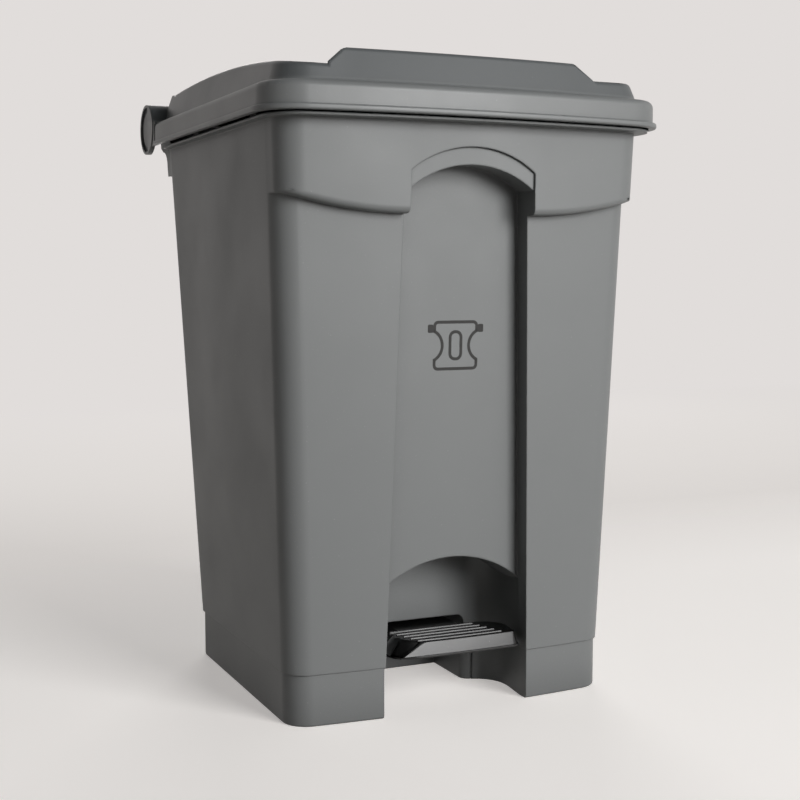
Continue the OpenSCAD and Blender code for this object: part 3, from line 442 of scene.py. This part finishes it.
@dataclass
class Moulding:
    """A moulded piece shaped from its solid: its doubles are merged and its edges rounded."""

    node: str
    name: str
    body: Body
    slot: str

    def start(self) -> bpy.types.Object:
        """Copies the node's mesh into a new piece, merged and with its flat faces joined.

        Returns:
            The new piece.
        """
        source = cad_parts[self.node]
        piece = bpy.data.objects.new(self.name, source.data.copy())
        bpy.context.scene.collection.objects.link(piece)
        piece.data.materials.clear()
        make_active(piece)
        # the frame's own normals would keep some sharp edges smooth
        bpy.ops.mesh.customdata_custom_splitnormals_clear()
        bpy.ops.object.mode_set(mode="EDIT")
        bpy.ops.mesh.select_all(action="SELECT")
        bpy.ops.mesh.remove_doubles(threshold=MERGE_MM * MM)
        # slivers with no area would hide a sharp edge from the smoothing
        bpy.ops.mesh.dissolve_degenerate(threshold=MERGE_MM * MM)
        bpy.ops.mesh.dissolve_limited(angle_limit=math.radians(FLAT_DEG))
        bpy.ops.object.mode_set(mode="OBJECT")
        return piece

    def round_edges(self, piece: bpy.types.Object, radius_of: RadiusRule, segments: int) -> int:
        """Rounds the sharp edges, each by the radius that a rule gives it.

        Args:
            piece: The piece.
            radius_of: Gives an edge's radius in mm, or 0 to leave it.
            segments: Number of strips in each rounding.

        Returns:
            The number of edges rounded.
        """
        make_active(piece)
        data = bmesh.new()
        data.from_mesh(piece.data)
        radii: dict[int, float] = {}
        for edge in data.edges:
            if len(edge.link_faces) != 2 or edge.calc_face_angle(0.0) < math.radians(SHARP_DEG):
                continue
            ends = (edge.verts[0].co / MM, edge.verts[1].co / MM)
            outward = (edge.link_faces[0].normal + edge.link_faces[1].normal).normalized()
            radius = radius_of(EdgePlace((ends[0] + ends[1]) / 2, ends, outward, edge.is_convex))
            if radius > 0:
                radii[edge.index] = radius
        if not radii:
            data.free()
            return 0
        widest = max(radii.values())
        weights = data.edges.layers.float.new("bevel_weight_edge")
        data.edges.ensure_lookup_table()
        for index, radius in radii.items():
            data.edges[index][weights] = radius / widest
        data.to_mesh(piece.data)
        data.free()
        rounding = piece.modifiers.new("rounding", "BEVEL")
        rounding.limit_method = "WEIGHT"
        rounding.width = widest * MM
        rounding.segments = segments
        rounding.use_clamp_overlap = False
        bpy.ops.object.modifier_apply(modifier=rounding.name)
        return len(radii)

    def finish(self, piece: bpy.types.Object, material: bpy.types.Material, smooth_deg: float) -> None:
        """Args:
            piece: The piece.
            material: Its finish.
            smooth_deg: Faces that meet at less than this angle shade as one.
        """
        make_active(piece)
        bpy.ops.object.shade_smooth()
        data = bmesh.new()
        data.from_mesh(piece.data)
        for edge in data.edges:
            edge.smooth = edge.calc_face_angle(math.pi) < math.radians(smooth_deg)
        data.to_mesh(piece.data)
        data.free()
        weigh = piece.modifiers.new("even_normals", "WEIGHTED_NORMAL")
        weigh.keep_sharp = True
        weigh.weight = 60
        bpy.ops.object.modifier_apply(modifier=weigh.name)
        piece.data.materials.clear()
        piece.data.materials.append(material)
        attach(piece, self.body.value)
        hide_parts(self.node)

    def build(self, radius_of: RadiusRule, segments: int, material: bpy.types.Material,
              shapers: tuple[Shaper, ...] = (), smooth_deg: float = 32.0) -> None:
        """Shapes, rounds and dresses the piece.

        Args:
            radius_of: Gives each edge's radius in mm.
            segments: Number of strips in each rounding.
            material: Its finish.
            shapers: Change the shape, in this order, before the edges are rounded.
            smooth_deg: Faces that meet at less than this angle shade as one.
        """
        piece = self.start()
        for shape in shapers:
            shape(piece)
        count = self.round_edges(piece, radius_of, segments)
        self.finish(piece, material, smooth_deg)
        log.info("%s: %d edges rounded, %d faces", piece.name, count, len(piece.data.polygons))


# ------------------------------------------------------------------ sub-assemblies


@dataclass
class Tub:
    """The tapered tub: its collar's lower edge is soft at the front and crisper towards the sides."""

    collar_low_z: float = 455.0
    collar_high_z: float = 486.0
    collar_front_y: float = -150.0
    collar_radius: float = 6.0
    side_share: float = 0.2
    rim_z: float = 543.0
    rim_radius: float = 0.8

    def radius_at(self, edge: EdgePlace) -> float:
        """Gives an edge's radius.

        Args:
            edge: The edge.

        Returns:
            The radius in mm.
        """
        out = edge.outward
        in_collar = all(self.collar_low_z < end.z < self.collar_high_z for end in edge.ends)
        at_front = edge.middle.y < self.collar_front_y and out.y < 0
        if edge.convex and in_collar and at_front and out.z < -TILT:
            ahead = abs(out.y) / math.hypot(out.x, out.y)
            return self.collar_radius * max(0.0, ahead - self.side_share) / (1 - self.side_share)
        if edge.convex and edge.level(self.rim_z) and edge.faces_out():
            return self.rim_radius
        return 0.0

    def build(self, finish: bpy.types.Material) -> None:
        """Builds the tub."""
        Moulding("body", "tub", Body.BIN, "body_plastic").build(self.radius_at, 5, finish)


@dataclass
class Plinth:
    """The separate base: its foot is rounded where it meets the floor."""

    foot_radius: float = 2.0
    joint_z: float = 48.0
    joint_radius: float = 0.8
    outer_x: float = 130.0
    outer_front_y: float = -140.0
    outer_rear_y: float = 100.0

    def radius_at(self, edge: EdgePlace) -> float:
        """Gives an edge's radius.

        Args:
            edge: The edge.

        Returns:
            The radius in mm.
        """
        at_side = abs(edge.middle.x) > self.outer_x
        outer = at_side or not self.outer_front_y < edge.middle.y < self.outer_rear_y
        if not edge.convex or not edge.faces_out() or not outer:
            return 0.0
        if edge.level(0.0):
            return self.foot_radius
        return self.joint_radius if edge.level(self.joint_z) else 0.0

    def build(self, finish: bpy.types.Material) -> None:
        """Builds the base."""
        Moulding("base", "plinth", Body.BIN, "body_plastic").build(self.radius_at, 4, finish)


@dataclass
class Lid:
    """The domed lid with its two hinge discs: a soft skirt, a half-round bead and a raised band."""

    bead_low_z: float = 545.0
    bead_high_z: float = 549.0
    bead_radius: float = 1.7
    bead_drop: float = 1.1
    bead_drop_y: float = 100.0
    bead_slack: float = 0.7
    ledge_z: float = 569.5
    skirt_radius: float = 6.5
    dome_foot_radius: float = 3.0
    dome_low_z: float = 584.0
    dome_radius: float = 3.6
    hinge_side_y: float = 168.0
    band_ease: float = 7.5
    band_rear_y: float = -150.0
    band_fade: float = 40.0
    band_foot_x: float = -105.0
    band_still_x: float = -166.0
    band_foot_run: float = 33.0
    band_foot_low: float = 578.0
    band_foot_high: float = 592.0
    band_brow_z: float = 596.0
    band_brow_x: float = 96.0
    band_brow_run: float = 17.0
    disc_face_x: float = 195.0
    disc_radius: float = 0.5

    def radius_at(self, edge: EdgePlace) -> float:
        """Gives an edge's radius.

        Args:
            edge: The edge.

        Returns:
            The radius in mm.
        """
        if edge.middle.y > self.hinge_side_y:
            return 0.0
        bead_foot_z = self.bead_low_z - self.bead_drop / 2
        if edge.level(bead_foot_z, self.bead_slack) or edge.level(self.bead_high_z):
            return self.bead_radius if edge.convex and edge.faces_out() else 0.0
        if edge.outward.z <= TILT:
            return 0.0
        if edge.level(self.ledge_z):
            return self.skirt_radius if edge.convex else self.dome_foot_radius
        on_dome = min(end.z for end in edge.ends) > self.dome_low_z
        return self.dome_radius if edge.convex and on_dome else 0.0

    def disc_radius_at(self, edge: EdgePlace) -> float:
        """Rounds only the outer edge of a hinge pin's disc head."""
        return self.disc_radius if edge.convex and abs(edge.middle.x) > self.disc_face_x else 0.0

    def lower_bead(self, piece: bpy.types.Object) -> None:
        """Brings the bead's foot nearer to the rim at the front, where the gap is only a thin line."""
        for vert in piece.data.vertices:
            place = vert.co / MM
            if abs(place.z - self.bead_low_z) < NEAR and place.y < self.bead_drop_y:
                vert.co.z -= self.bead_drop * MM

    def ease_band(self, piece: bpy.types.Object) -> None:
        """Makes the ramps at the raised band's ends shallower: the left foot and the right brow move left."""
        for vert in piece.data.vertices:
            place = vert.co / MM
            near = between_0_and_1((self.band_rear_y - place.y) / self.band_fade)
            if self.band_foot_low < place.z < self.band_foot_high and place.x < self.band_foot_x:
                along = between_0_and_1((place.x - self.band_still_x) / self.band_foot_run)
                vert.co.x -= self.band_ease * near * along * MM
            elif place.z > self.band_brow_z and place.x > self.band_brow_x:
                along = between_0_and_1((place.x - self.band_brow_x) / self.band_brow_run)
                vert.co.x -= self.band_ease * near * along * MM

    def build(self, finish: bpy.types.Material, pin_finish: bpy.types.Material) -> None:
        """Builds the lid and the two hinge pins.

        Args:
            finish: The lid's finish.
            pin_finish: The pins' finish.
        """
        Moulding("lid", "lid_shell", Body.LID, "lid_plastic").build(
            self.radius_at, 5, finish, (self.lower_bead, self.ease_band))
        for side in ("left", "right"):
            Moulding(f"hinge_pin_{side}", f"hinge_disc_{side}", Body.LID, "lid_plastic").build(
                self.disc_radius_at, 3, pin_finish)


@dataclass
class Pedal:
    """The black tread: crisp ribs on a flat top, a glossy leaning apron and a thin lip."""

    top_z: float = 68.0
    top_radius: float = 1.4
    rib_z: float = 68.8
    rib_radius: float = 0.35
    lip_z: float = 55.5
    lip_radius: float = 0.6
    lip_tilt: float = 0.2
    front_y: float = -167.0
    half_width: float = 67.0
    foot_high_z: float = 56.0
    lip_corner: float = 8.0
    soft_corner: float = 26.0
    corner_still: float = 0.5
    top_left: float = -53.0
    top_right: float = 65.5
    top_corner: float = 24.0
    front_corner: float = 6.0
    apron_set_back: float = 3.0
    first_rib_y: float = -162.5
    rib_pitch: float = 9.0
    rib_front: float = 0.3
    rib_raise: float = 0.7
    rib_lean: float = 0.35
    bow: float = 1.6
    bow_middle: float = 4.0
    bow_half: float = 64.0
    bow_cuts: tuple[float, ...] = (-38.0, -22.0, -8.0, 8.0, 22.0, 36.0, 50.0)

    def radius_at(self, edge: EdgePlace) -> float:
        """Gives an edge's radius.

        Args:
            edge: The edge.

        Returns:
            The radius in mm.
        """
        if not edge.convex:
            return 0.0
        if edge.level(self.top_z, 2 * NEAR) and math.hypot(edge.outward.x, edge.outward.y) > TILT:
            return self.top_radius
        if edge.level(self.rib_z + self.rib_raise):
            return self.rib_radius
        if edge.level(self.lip_z, 3 * NEAR) and edge.outward.z > self.lip_tilt:
            return self.lip_radius
        return 0.0

    def widen_foot_corner(self, flat: Vector) -> Vector:
        """Moves a point of the foot's tight left corner onto a wide corner, like the top's.

        Args:
            flat: The point seen from above, in mm.

        Returns:
            The point's new place.
        """
        tight = Vector((self.lip_corner - self.half_width, self.front_y + self.lip_corner))
        wide = Vector((self.soft_corner - self.half_width, self.front_y + self.soft_corner))
        away = flat - tight
        at_corner = flat.x < tight.x + NEAR and flat.y < tight.y + NEAR
        if not at_corner or away.length <= self.corner_still:
            return flat
        return wide + away.normalized() * (away.length + self.soft_corner - self.lip_corner)

    def set_top_back(self, flat: Vector) -> Vector:
        """Moves a point of the apron's top edge back, or towards the middle of its rounded corner.

        Args:
            flat: The point seen from above, in mm.

        Returns:
            The point's new place.
        """
        left = Vector((self.top_left + self.top_corner, self.front_y + self.top_corner))
        right = Vector((self.top_right - self.front_corner, self.front_y + self.front_corner))
        if left.x < flat.x < right.x and abs(flat.y - self.front_y) < NEAR:
            return flat + Vector((0.0, self.apron_set_back))
        for middle, radius, side in ((left, self.top_corner, -1), (right, self.front_corner, 1)):
            away = flat - middle
            on_round = abs(away.length - radius) < 2 * NEAR
            if side * away.x > -NEAR and away.y < NEAR and on_round:
                return middle + away.normalized() * (radius - self.apron_set_back)
        return flat

    def lean_apron(self, piece: bpy.types.Object) -> None:
        """Widens the foot's left corner, sets the apron's top edge back and raises the ribs."""
        for vert in piece.data.vertices:
            place = vert.co / MM
            flat = Vector((place.x, place.y))
            if place.z < self.foot_high_z:
                flat = self.widen_foot_corner(flat)
            elif abs(place.z - self.top_z) < NEAR:
                flat = self.set_top_back(flat)
            elif abs(place.z - self.rib_z) < NEAR:
                vert.co.z += self.rib_raise * MM
                if (place.y - self.first_rib_y) % self.rib_pitch < self.rib_front:
                    flat.y += self.rib_lean
            vert.co.x, vert.co.y = flat.x * MM, flat.y * MM

    def bow_front(self, piece: bpy.types.Object) -> None:
        """Cuts the long front faces across and swells them forwards a little."""
        make_active(piece)
        bpy.ops.object.mode_set(mode="EDIT")
        for cut in self.bow_cuts:
            bpy.ops.mesh.select_all(action="SELECT")
            bpy.ops.mesh.bisect(plane_co=(cut * MM, 0.0, 0.0), plane_no=(1.0, 0.0, 0.0),
                                clear_inner=False, clear_outer=False, use_fill=False)
        bpy.ops.object.mode_set(mode="OBJECT")
        for vert in piece.data.vertices:
            place = vert.co / MM
            near = between_0_and_1((self.front_y + self.top_corner - place.y) / self.top_corner)
            across = (place.x - self.bow_middle) / self.bow_half
            vert.co.y -= self.bow * near * max(0.0, 1 - across * across) * MM

    def build(self, finish: bpy.types.Material) -> None:
        """Builds the tread."""
        Moulding("pedal", "tread", Body.PEDAL, "pedal_plastic").build(
            self.radius_at, 3, finish, (self.lean_apron, self.bow_front), 60.0)


@dataclass
class Pictogram:
    """A plain sign of an open nappy, screen-printed on the panel: an hourglass outline, its pad and two tabs.

    Sizes are in mm, drawn flat about the sign's own middle.
    """

    width: float = 46.0
    height: float = 46.0
    line: float = 2.8
    leg_radius: float = 13.5
    leg_x: float = 28.5
    corner: float = 5.0
    pad_width: float = 14.0
    pad_height: float = 28.0
    pad_roundness: float = 2.2
    tab_width: float = 5.5
    tab_height: float = 7.5
    tab_corner: float = 1.2
    tab_drop: float = 3.5
    slab_depth: float = 4.0
    cutter_depth: float = 20.0
    ink: float = 0.12
    middle_v: float = 342.5
    panel_front: float = 148.3
    lean_run: float = 18.0
    lean_height: float = 543.0

    def slab(self, name: str, width: float, height: float, corner: float, x: float = 0.0,
             y: float = 0.0) -> bpy.types.Object:
        """Adds a flat slab with rounded corners.

        Args:
            name: Its name.
            width: Its width.
            height: Its height.
            corner: Radius of its corners.
            x: Its middle, to the right.
            y: Its middle, upwards.

        Returns:
            The slab.
        """
        select_none()
        bpy.ops.mesh.primitive_cube_add(size=1)
        piece = bpy.context.object
        piece.name = piece.data.name = name
        bpy.ops.object.mode_set(mode="EDIT")
        bpy.ops.mesh.select_all(action="SELECT")
        bpy.ops.transform.resize(value=(width * MM, height * MM, self.slab_depth * MM))
        bpy.ops.transform.translate(value=(x * MM, y * MM, 0))
        upright = self.slab_depth / 2 * MM
        pick(piece, "EDGE", lambda edge: abs(edge.verts[0].co.z - edge.verts[1].co.z) > upright)
        bpy.ops.mesh.bevel(offset=corner * MM, segments=6, profile=0.5, affect="EDGES", clamp_overlap=True)
        bpy.ops.object.mode_set(mode="OBJECT")
        return piece

    def cut_legs(self, piece: bpy.types.Object) -> None:
        """Cuts a round leg opening into each side."""
        for side in (-1, 1):
            select_none()
            bpy.ops.mesh.primitive_cylinder_add(
                vertices=72, radius=self.leg_radius * MM, depth=self.cutter_depth * MM,
                location=(side * self.leg_x * MM, 0, 0))
            tool = bpy.context.object
            make_active(piece)
            cut = piece.modifiers.new("leg", "BOOLEAN")
            cut.object = tool
            cut.operation = "DIFFERENCE"
            cut.solver = "EXACT"
            bpy.ops.object.modifier_apply(modifier=cut.name)
            bpy.data.objects.remove(tool)

    def print_face(self, piece: bpy.types.Object, outline: bool) -> None:
        """Keeps a slab's front face alone, as a line or filled, and gives it the ink's thickness.

        Args:
            piece: The slab.
            outline: Whether only a line along its edge is kept.
        """
        make_active(piece)
        bpy.ops.object.mode_set(mode="EDIT")
        pick(piece, "FACE", lambda face: face.normal.z < 0.9)
        bpy.ops.mesh.delete(type="FACE")
        bpy.ops.mesh.select_all(action="SELECT")
        bpy.ops.mesh.dissolve_limited(angle_limit=math.radians(1.0))
        bpy.ops.mesh.select_all(action="SELECT")
        if outline:
            bpy.ops.mesh.inset(thickness=self.line * MM, depth=0.0, use_boundary=True, use_even_offset=True)
            bpy.ops.mesh.delete(type="FACE")
            bpy.ops.mesh.select_all(action="SELECT")
        data = bmesh.from_edit_mesh(piece.data)
        for vert in data.verts:
            vert.co.z = 0.0
        bmesh.update_edit_mesh(piece.data)
        bpy.ops.mesh.extrude_region_move(TRANSFORM_OT_translate={"value": (0, 0, self.ink * MM)})
        bpy.ops.mesh.select_all(action="SELECT")
        bpy.ops.mesh.normals_make_consistent(inside=False)
        bpy.ops.object.mode_set(mode="OBJECT")

    def build(self, finish: bpy.types.Material) -> None:
        """Builds the sign and lays it on the leaning panel."""
        hourglass = self.slab("sign_outline", self.width, self.height, self.corner)
        self.cut_legs(hourglass)
        pad = self.slab("sign_pad", self.pad_width, self.pad_height, self.pad_width / self.pad_roundness)
        tab_x = (self.width + self.tab_width) / 2
        tab_y = self.height / 2 - self.tab_drop - self.tab_height / 2
        tabs = [self.slab(f"sign_tab_{name}", self.tab_width, self.tab_height, self.tab_corner,
                          side * tab_x, tab_y) for name, side in (("left", -1), ("right", 1))]
        lean = math.atan(self.lean_run / self.lean_height)
        at_panel = (Matrix.Translation(Vector((0, -self.panel_front, 0)) * MM)
                    @ Matrix.Rotation(math.pi / 2 + lean, 4, "X")
                    @ Matrix.Translation(Vector((0, self.middle_v, 0)) * MM))
        for piece in [hourglass, pad, *tabs]:
            self.print_face(piece, outline=piece in (hourglass, pad))
            piece.matrix_world = at_panel
            make_active(piece)
            bpy.ops.object.transform_apply(location=True, rotation=True, scale=True)
            piece.data.materials.append(finish)
            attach(piece, Body.BIN.value)
            log.info("%s: %d faces", piece.name, len(piece.data.polygons))


@dataclass
class Fittings:
    """The metal, nylon and rubber fittings, which keep their solids' shapes."""

    nodes: tuple[tuple[Stock, tuple[str, ...]], ...] = (
        (Stock.STEEL, ("base_screws", "pedal_lever", "pedal_screws", "pedal_axle", "axle_clips", "lift_rod",
                       "rod_foot_clip", "rod_top_clip", "guide_screws")),
        (Stock.NYLON, ("axle_bushes", "rod_guide_lower", "rod_guide_upper")),
        (Stock.RUBBER, ("lid_buffers", "pedal_stop")))

    def dress(self, finishes: dict[Stock, bpy.types.Material]) -> None:
        """Gives each fitting its finish.

        Args:
            finishes: The finish of each stock.
        """
        for stock, names in self.nodes:
            for name in names:
                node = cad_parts[name]
                node.data.materials.clear()
                node.data.materials.append(finishes[stock])
                log.info("%s: %s", name, stock.value)


# ------------------------------------------------------------------ studio


@dataclass(frozen=True)
class SoftBox:
    """A soft rectangular lamp. Places and sizes are in metres, and its power is in watts."""

    name: str
    place: Point
    target: Point
    size: Span
    power: float

    def build(self) -> None:
        """Adds the lamp, unseen by the camera and turned to its target."""
        data = bpy.data.lights.new(self.name, "AREA")
        data.shape = "RECTANGLE"
        data.size, data.size_y = self.size
        data.energy = self.power
        lamp = bpy.data.objects.new(self.name, data)
        bpy.context.scene.collection.objects.link(lamp)
        lamp.location = self.place
        lamp.visible_camera = False
        lamp.rotation_euler = (Vector(self.target) - Vector(self.place)).to_track_quat("-Z", "Y").to_euler()


@dataclass(frozen=True)
class FloorTone:
    """The floor's look at one depth: its own glowing tone, which holds painted shade where it dims, and the
    share of the lamps' light that adds to it.
    """

    y: float
    glow: str
    share: float


@dataclass
class Studio:
    """Floor, backdrop, lamps and the camera. Lengths are in metres, but eye and lens_mm are in mm."""

    eye: Point = (-566.83, -1288.05, 407.11)
    yaw_deg: float = 24.347
    pitch_deg: float = 5.232
    lens_mm: float = 61.47
    floor_size: Span = (60.0, 35.0)
    floor_back_y: float = 5.0
    wall_height: float = 7.0
    sweep_radius: float = 2.2
    floor_colour: str = "f2eeeb"
    floor_tint: str = "e9e6e2"
    bounce_colour: str = "868481"
    cloud: float = 0.4
    # the dimmer glow at 0.76 m, against the paler tones behind it, is a painted shade band across the floor
    tones: tuple[FloorTone, ...] = (
        FloorTone(-1.6, "d6d2cf", 0.12), FloorTone(-0.6, "aaa7a5", 1.15), FloorTone(0.25, "aaa7a5", 1.15),
        FloorTone(0.76, "c8c4c1", 0.35), FloorTone(1.44, "d9d5d2", 0.1), FloorTone(2.8, "e1dddb", 0.0))
    tone_from: float = -4.0
    tone_reach: float = 7.0
    share_top: float = 2.0
    lamps: tuple[SoftBox, ...] = (
        SoftBox("key_soft_box", (1.45, -3.65, 1.65), (0.0, 0.0, 0.3), (2.0, 1.6), 98.0),
        SoftBox("low_strip_box", (1.35, -3.5, 0.78), (0.0, 0.0, 0.12), (1.6, 0.7), 25.0),
        SoftBox("rear_soft_box", (1.3, 3.1, 1.0), (0.0, 0.0, 0.3), (1.6, 1.4), 46.0),
        SoftBox("back_left_soft_box", (-2.6, 1.6, 1.3), (0.0, 0.0, 0.3), (1.6, 1.8), 0.8))
    horizon: Span = (0.25, 0.75)
    air_light: tuple[str, str] = ("303030", "28292a")
    air_seen: tuple[str, str] = ("e3e0dc", "5c5e60")

    def camera(self) -> None:
        """Places the camera where the photograph was taken from."""
        data = bpy.data.cameras.new("camera")
        data.sensor_width = 36.0
        data.lens = self.lens_mm
        data.clip_end = 50.0
        camera = bpy.data.objects.new("camera", data)
        bpy.context.scene.collection.objects.link(camera)
        camera.location = [v * MM for v in self.eye]
        camera.rotation_euler = (math.radians(90 - self.pitch_deg), 0.0, math.radians(-self.yaw_deg))
        bpy.context.scene.camera = camera

    def paper_tone(self, tree: bpy.types.NodeTree, place: Socket) -> tuple[Socket, Socket]:
        """Lays the floor's tones along its depth: the lamps' light shows most beside the bin, and a painted
        shade band dims the glow at 0.76 m.

        Args:
            tree: The material's node tree.
            place: The point's place.

        Returns:
            The paper's own tone, and the share of the lamps' light.
        """
        depth = add_node(tree, "ShaderNodeSeparateXYZ", {0: place})
        along = add_node(tree, "ShaderNodeMapRange", {
            "Value": depth.outputs["Y"], "From Min": self.tone_from,
            "From Max": self.tone_from + self.tone_reach})
        own = add_node(tree, "ShaderNodeValToRGB", {0: along.outputs[0]})
        shade = add_node(tree, "ShaderNodeValToRGB", {0: along.outputs[0]})
        glows_with_painted_shade = [linear(tone.glow) for tone in self.tones]
        # a ramp's colours stop at 1, so the shares are held as parts of the highest share allowed
        shares = [(*[tone.share / self.share_top] * 3, 1.0) for tone in self.tones]
        for ramp, colours in ((own, glows_with_painted_shade), (shade, shares)):
            stops = ramp.color_ramp.elements
            stops.remove(stops[1])
            for tone, colour in zip(self.tones, colours):
                spot = (tone.y - self.tone_from) / self.tone_reach
                stop = stops[0] if tone is self.tones[0] else stops.new(spot)
                stop.position = spot
                stop.color = colour
        strong = add_node(tree, "ShaderNodeVectorMath", {0: shade.outputs[0], "Scale": self.share_top},
                          operation="SCALE")
        return own.outputs[0], strong.outputs[0]

    def ground_finish(self) -> bpy.types.Material:
        """Builds the floor's pale paper: pale to the eye and in reflections, duller as a bouncer of light.

        Returns:
            The material.
        """
        material = bpy.data.materials.new("pale_paper")
        tree = empty_tree(material)
        place = add_node(tree, "ShaderNodeTexCoord").outputs["Object"]
        # broad, faint clouds in the paper
        clouds = add_node(tree, "ShaderNodeTexNoise", {"Vector": place, "Scale": 1 / self.cloud,
                                                       "Detail": 2.0})
        pale = add_node(tree, "ShaderNodeMix", {
            SHARE: clouds.outputs["Fac"], FIRST: linear(self.floor_colour), SECOND: linear(self.floor_tint)},
            data_type="RGBA")
        path = add_node(tree, "ShaderNodeLightPath")
        seen = add_node(tree, "ShaderNodeMath", {
            0: path.outputs["Is Camera Ray"], 1: path.outputs["Is Glossy Ray"]}, operation="MAXIMUM")
        shown = add_node(tree, "ShaderNodeMath", {
            0: seen.outputs[0], 1: path.outputs["Is Transmission Ray"]}, operation="MAXIMUM")
        dull = add_node(tree, "ShaderNodeBsdfDiffuse", {"Color": linear(self.bounce_colour)})
        own, share = self.paper_tone(tree, place)
        glow = add_node(tree, "ShaderNodeEmission", {"Color": own, "Strength": 1.0})
        toned = add_node(tree, "ShaderNodeVectorMath", {0: share, 1: pale.outputs[MIXED]},
                         operation="MULTIPLY")
        paper = add_node(tree, "ShaderNodeBsdfDiffuse", {"Color": toned.outputs[0]})
        lit = add_node(tree, "ShaderNodeAddShader", {0: paper.outputs[0], 1: glow.outputs[0]})
        surface = add_node(tree, "ShaderNodeMixShader", {
            0: shown.outputs[0], 1: dull.outputs[0], 2: lit.outputs[0]})
        add_node(tree, "ShaderNodeOutputMaterial", {"Surface": surface.outputs[0]})
        return material

    def sweep(self) -> None:
        """Builds the floor and the backdrop as one swept sheet."""
        select_none()
        bpy.ops.mesh.primitive_plane_add(size=1, location=(0, 0, 0))
        sheet = bpy.context.object
        sheet.name = "floor_sweep"
        sheet.data.name = "floor_sweep"
        width, depth = self.floor_size
        slack = 0.1
        back = self.floor_back_y - slack
        bpy.ops.object.mode_set(mode="EDIT")
        bpy.ops.mesh.select_all(action="SELECT")
        bpy.ops.transform.resize(value=(width, depth, 1))
        bpy.ops.transform.translate(value=(0, self.floor_back_y - depth / 2, 0))
        pick(sheet, "EDGE", lambda edge: all(vert.co.y > back for vert in edge.verts))
        bpy.ops.mesh.extrude_region_move(TRANSFORM_OT_translate={"value": (0, 0, self.wall_height)})
        pick(sheet, "EDGE", lambda edge: all(vert.co.y > back and vert.co.z < slack for vert in edge.verts))
        bpy.ops.mesh.bevel(offset=self.sweep_radius, segments=24, profile=0.5, affect="EDGES",
                           clamp_overlap=False)
        bpy.ops.object.mode_set(mode="OBJECT")
        bpy.ops.object.shade_smooth()
        sheet.data.materials.append(self.ground_finish())

    def air(self) -> None:
        """Sets the world: a pale studio with a dim ceiling to the eye and in reflections, and dim light."""
        world = bpy.data.worlds.new("studio_air")
        bpy.context.scene.world = world
        tree = empty_tree(world)
        path = add_node(tree, "ShaderNodeLightPath")
        seen = add_node(tree, "ShaderNodeMath", {
            0: path.outputs["Is Camera Ray"], 1: path.outputs["Is Glossy Ray"]}, operation="MAXIMUM")
        way = add_node(tree, "ShaderNodeTexCoord").outputs["Generated"]
        up = add_node(tree, "ShaderNodeSeparateXYZ", {0: way})
        high = add_node(tree, "ShaderNodeMapRange", {
            "Value": up.outputs["Z"], "From Min": self.horizon[0], "From Max": self.horizon[1],
            "To Min": 0.0, "To Max": 1.0})
        light, shown = (add_node(tree, "ShaderNodeMix", {
            SHARE: high.outputs[0], FIRST: linear(low_tone), SECOND: linear(high_tone)}, data_type="RGBA")
            for low_tone, high_tone in (self.air_light, self.air_seen))
        colour = add_node(tree, "ShaderNodeMix", {
            SHARE: seen.outputs[0], FIRST: light.outputs[MIXED], SECOND: shown.outputs[MIXED]},
            data_type="RGBA")
        air = add_node(tree, "ShaderNodeBackground", {"Color": colour.outputs[MIXED], "Strength": 1.0})
        add_node(tree, "ShaderNodeOutputWorld", {"Surface": air.outputs[0]})

    def build(self) -> None:
        """Builds the whole studio."""
        bpy.context.scene.view_settings.view_transform = "Standard"
        self.camera()
        self.sweep()
        for lamp in self.lamps:
            lamp.build()
        self.air()


# ------------------------------------------------------------------ main


def main() -> None:
    """Builds every class in order and reports each piece."""
    logging.basicConfig(level=logging.INFO, format="%(name)s %(message)s")
    Studio().build()
    grey = MouldedPlastic("matte_moulded_polypropylene_grey", "8a8c8c", "868888", 0.48, edge_mm=2.0).build()
    # above 570 mm the lid's colour drops to 0.6 of itself: painted shade on the dome
    lid_grey = MouldedPlastic("matte_moulded_polypropylene_lid", "878989", "838585", 0.42, edge_mm=1.2,
                              painted_shade_above_mm=570.0, painted_shade_above=0.6).build()
    black = MouldedPlastic("satin_moulded_nylon_black", "1c1c1c", "181818", 0.33, grain_depth_mm=0.02,
                           scuffs=0.1, edge_mm=0.5).build()
    Tub().build(grey)
    Plinth().build(grey)
    Lid().build(lid_grey, grey)
    Pedal().build(black)
    Pictogram().build(ScreenInk("screen_ink_black").build())
    Fittings().dress({
        Stock.STEEL: DrawnSteel("zinc_plated_steel").build(),
        Stock.NYLON: SoftPolymer("natural_nylon", "d9d6cc", "d2cfc4", 0.42, depth_mm=1.5).build(),
        Stock.RUBBER: SoftPolymer("moulded_rubber_black", "1a1a1a", "202020", 0.7).build(),
    })


if __name__ == "__main__":
    main()
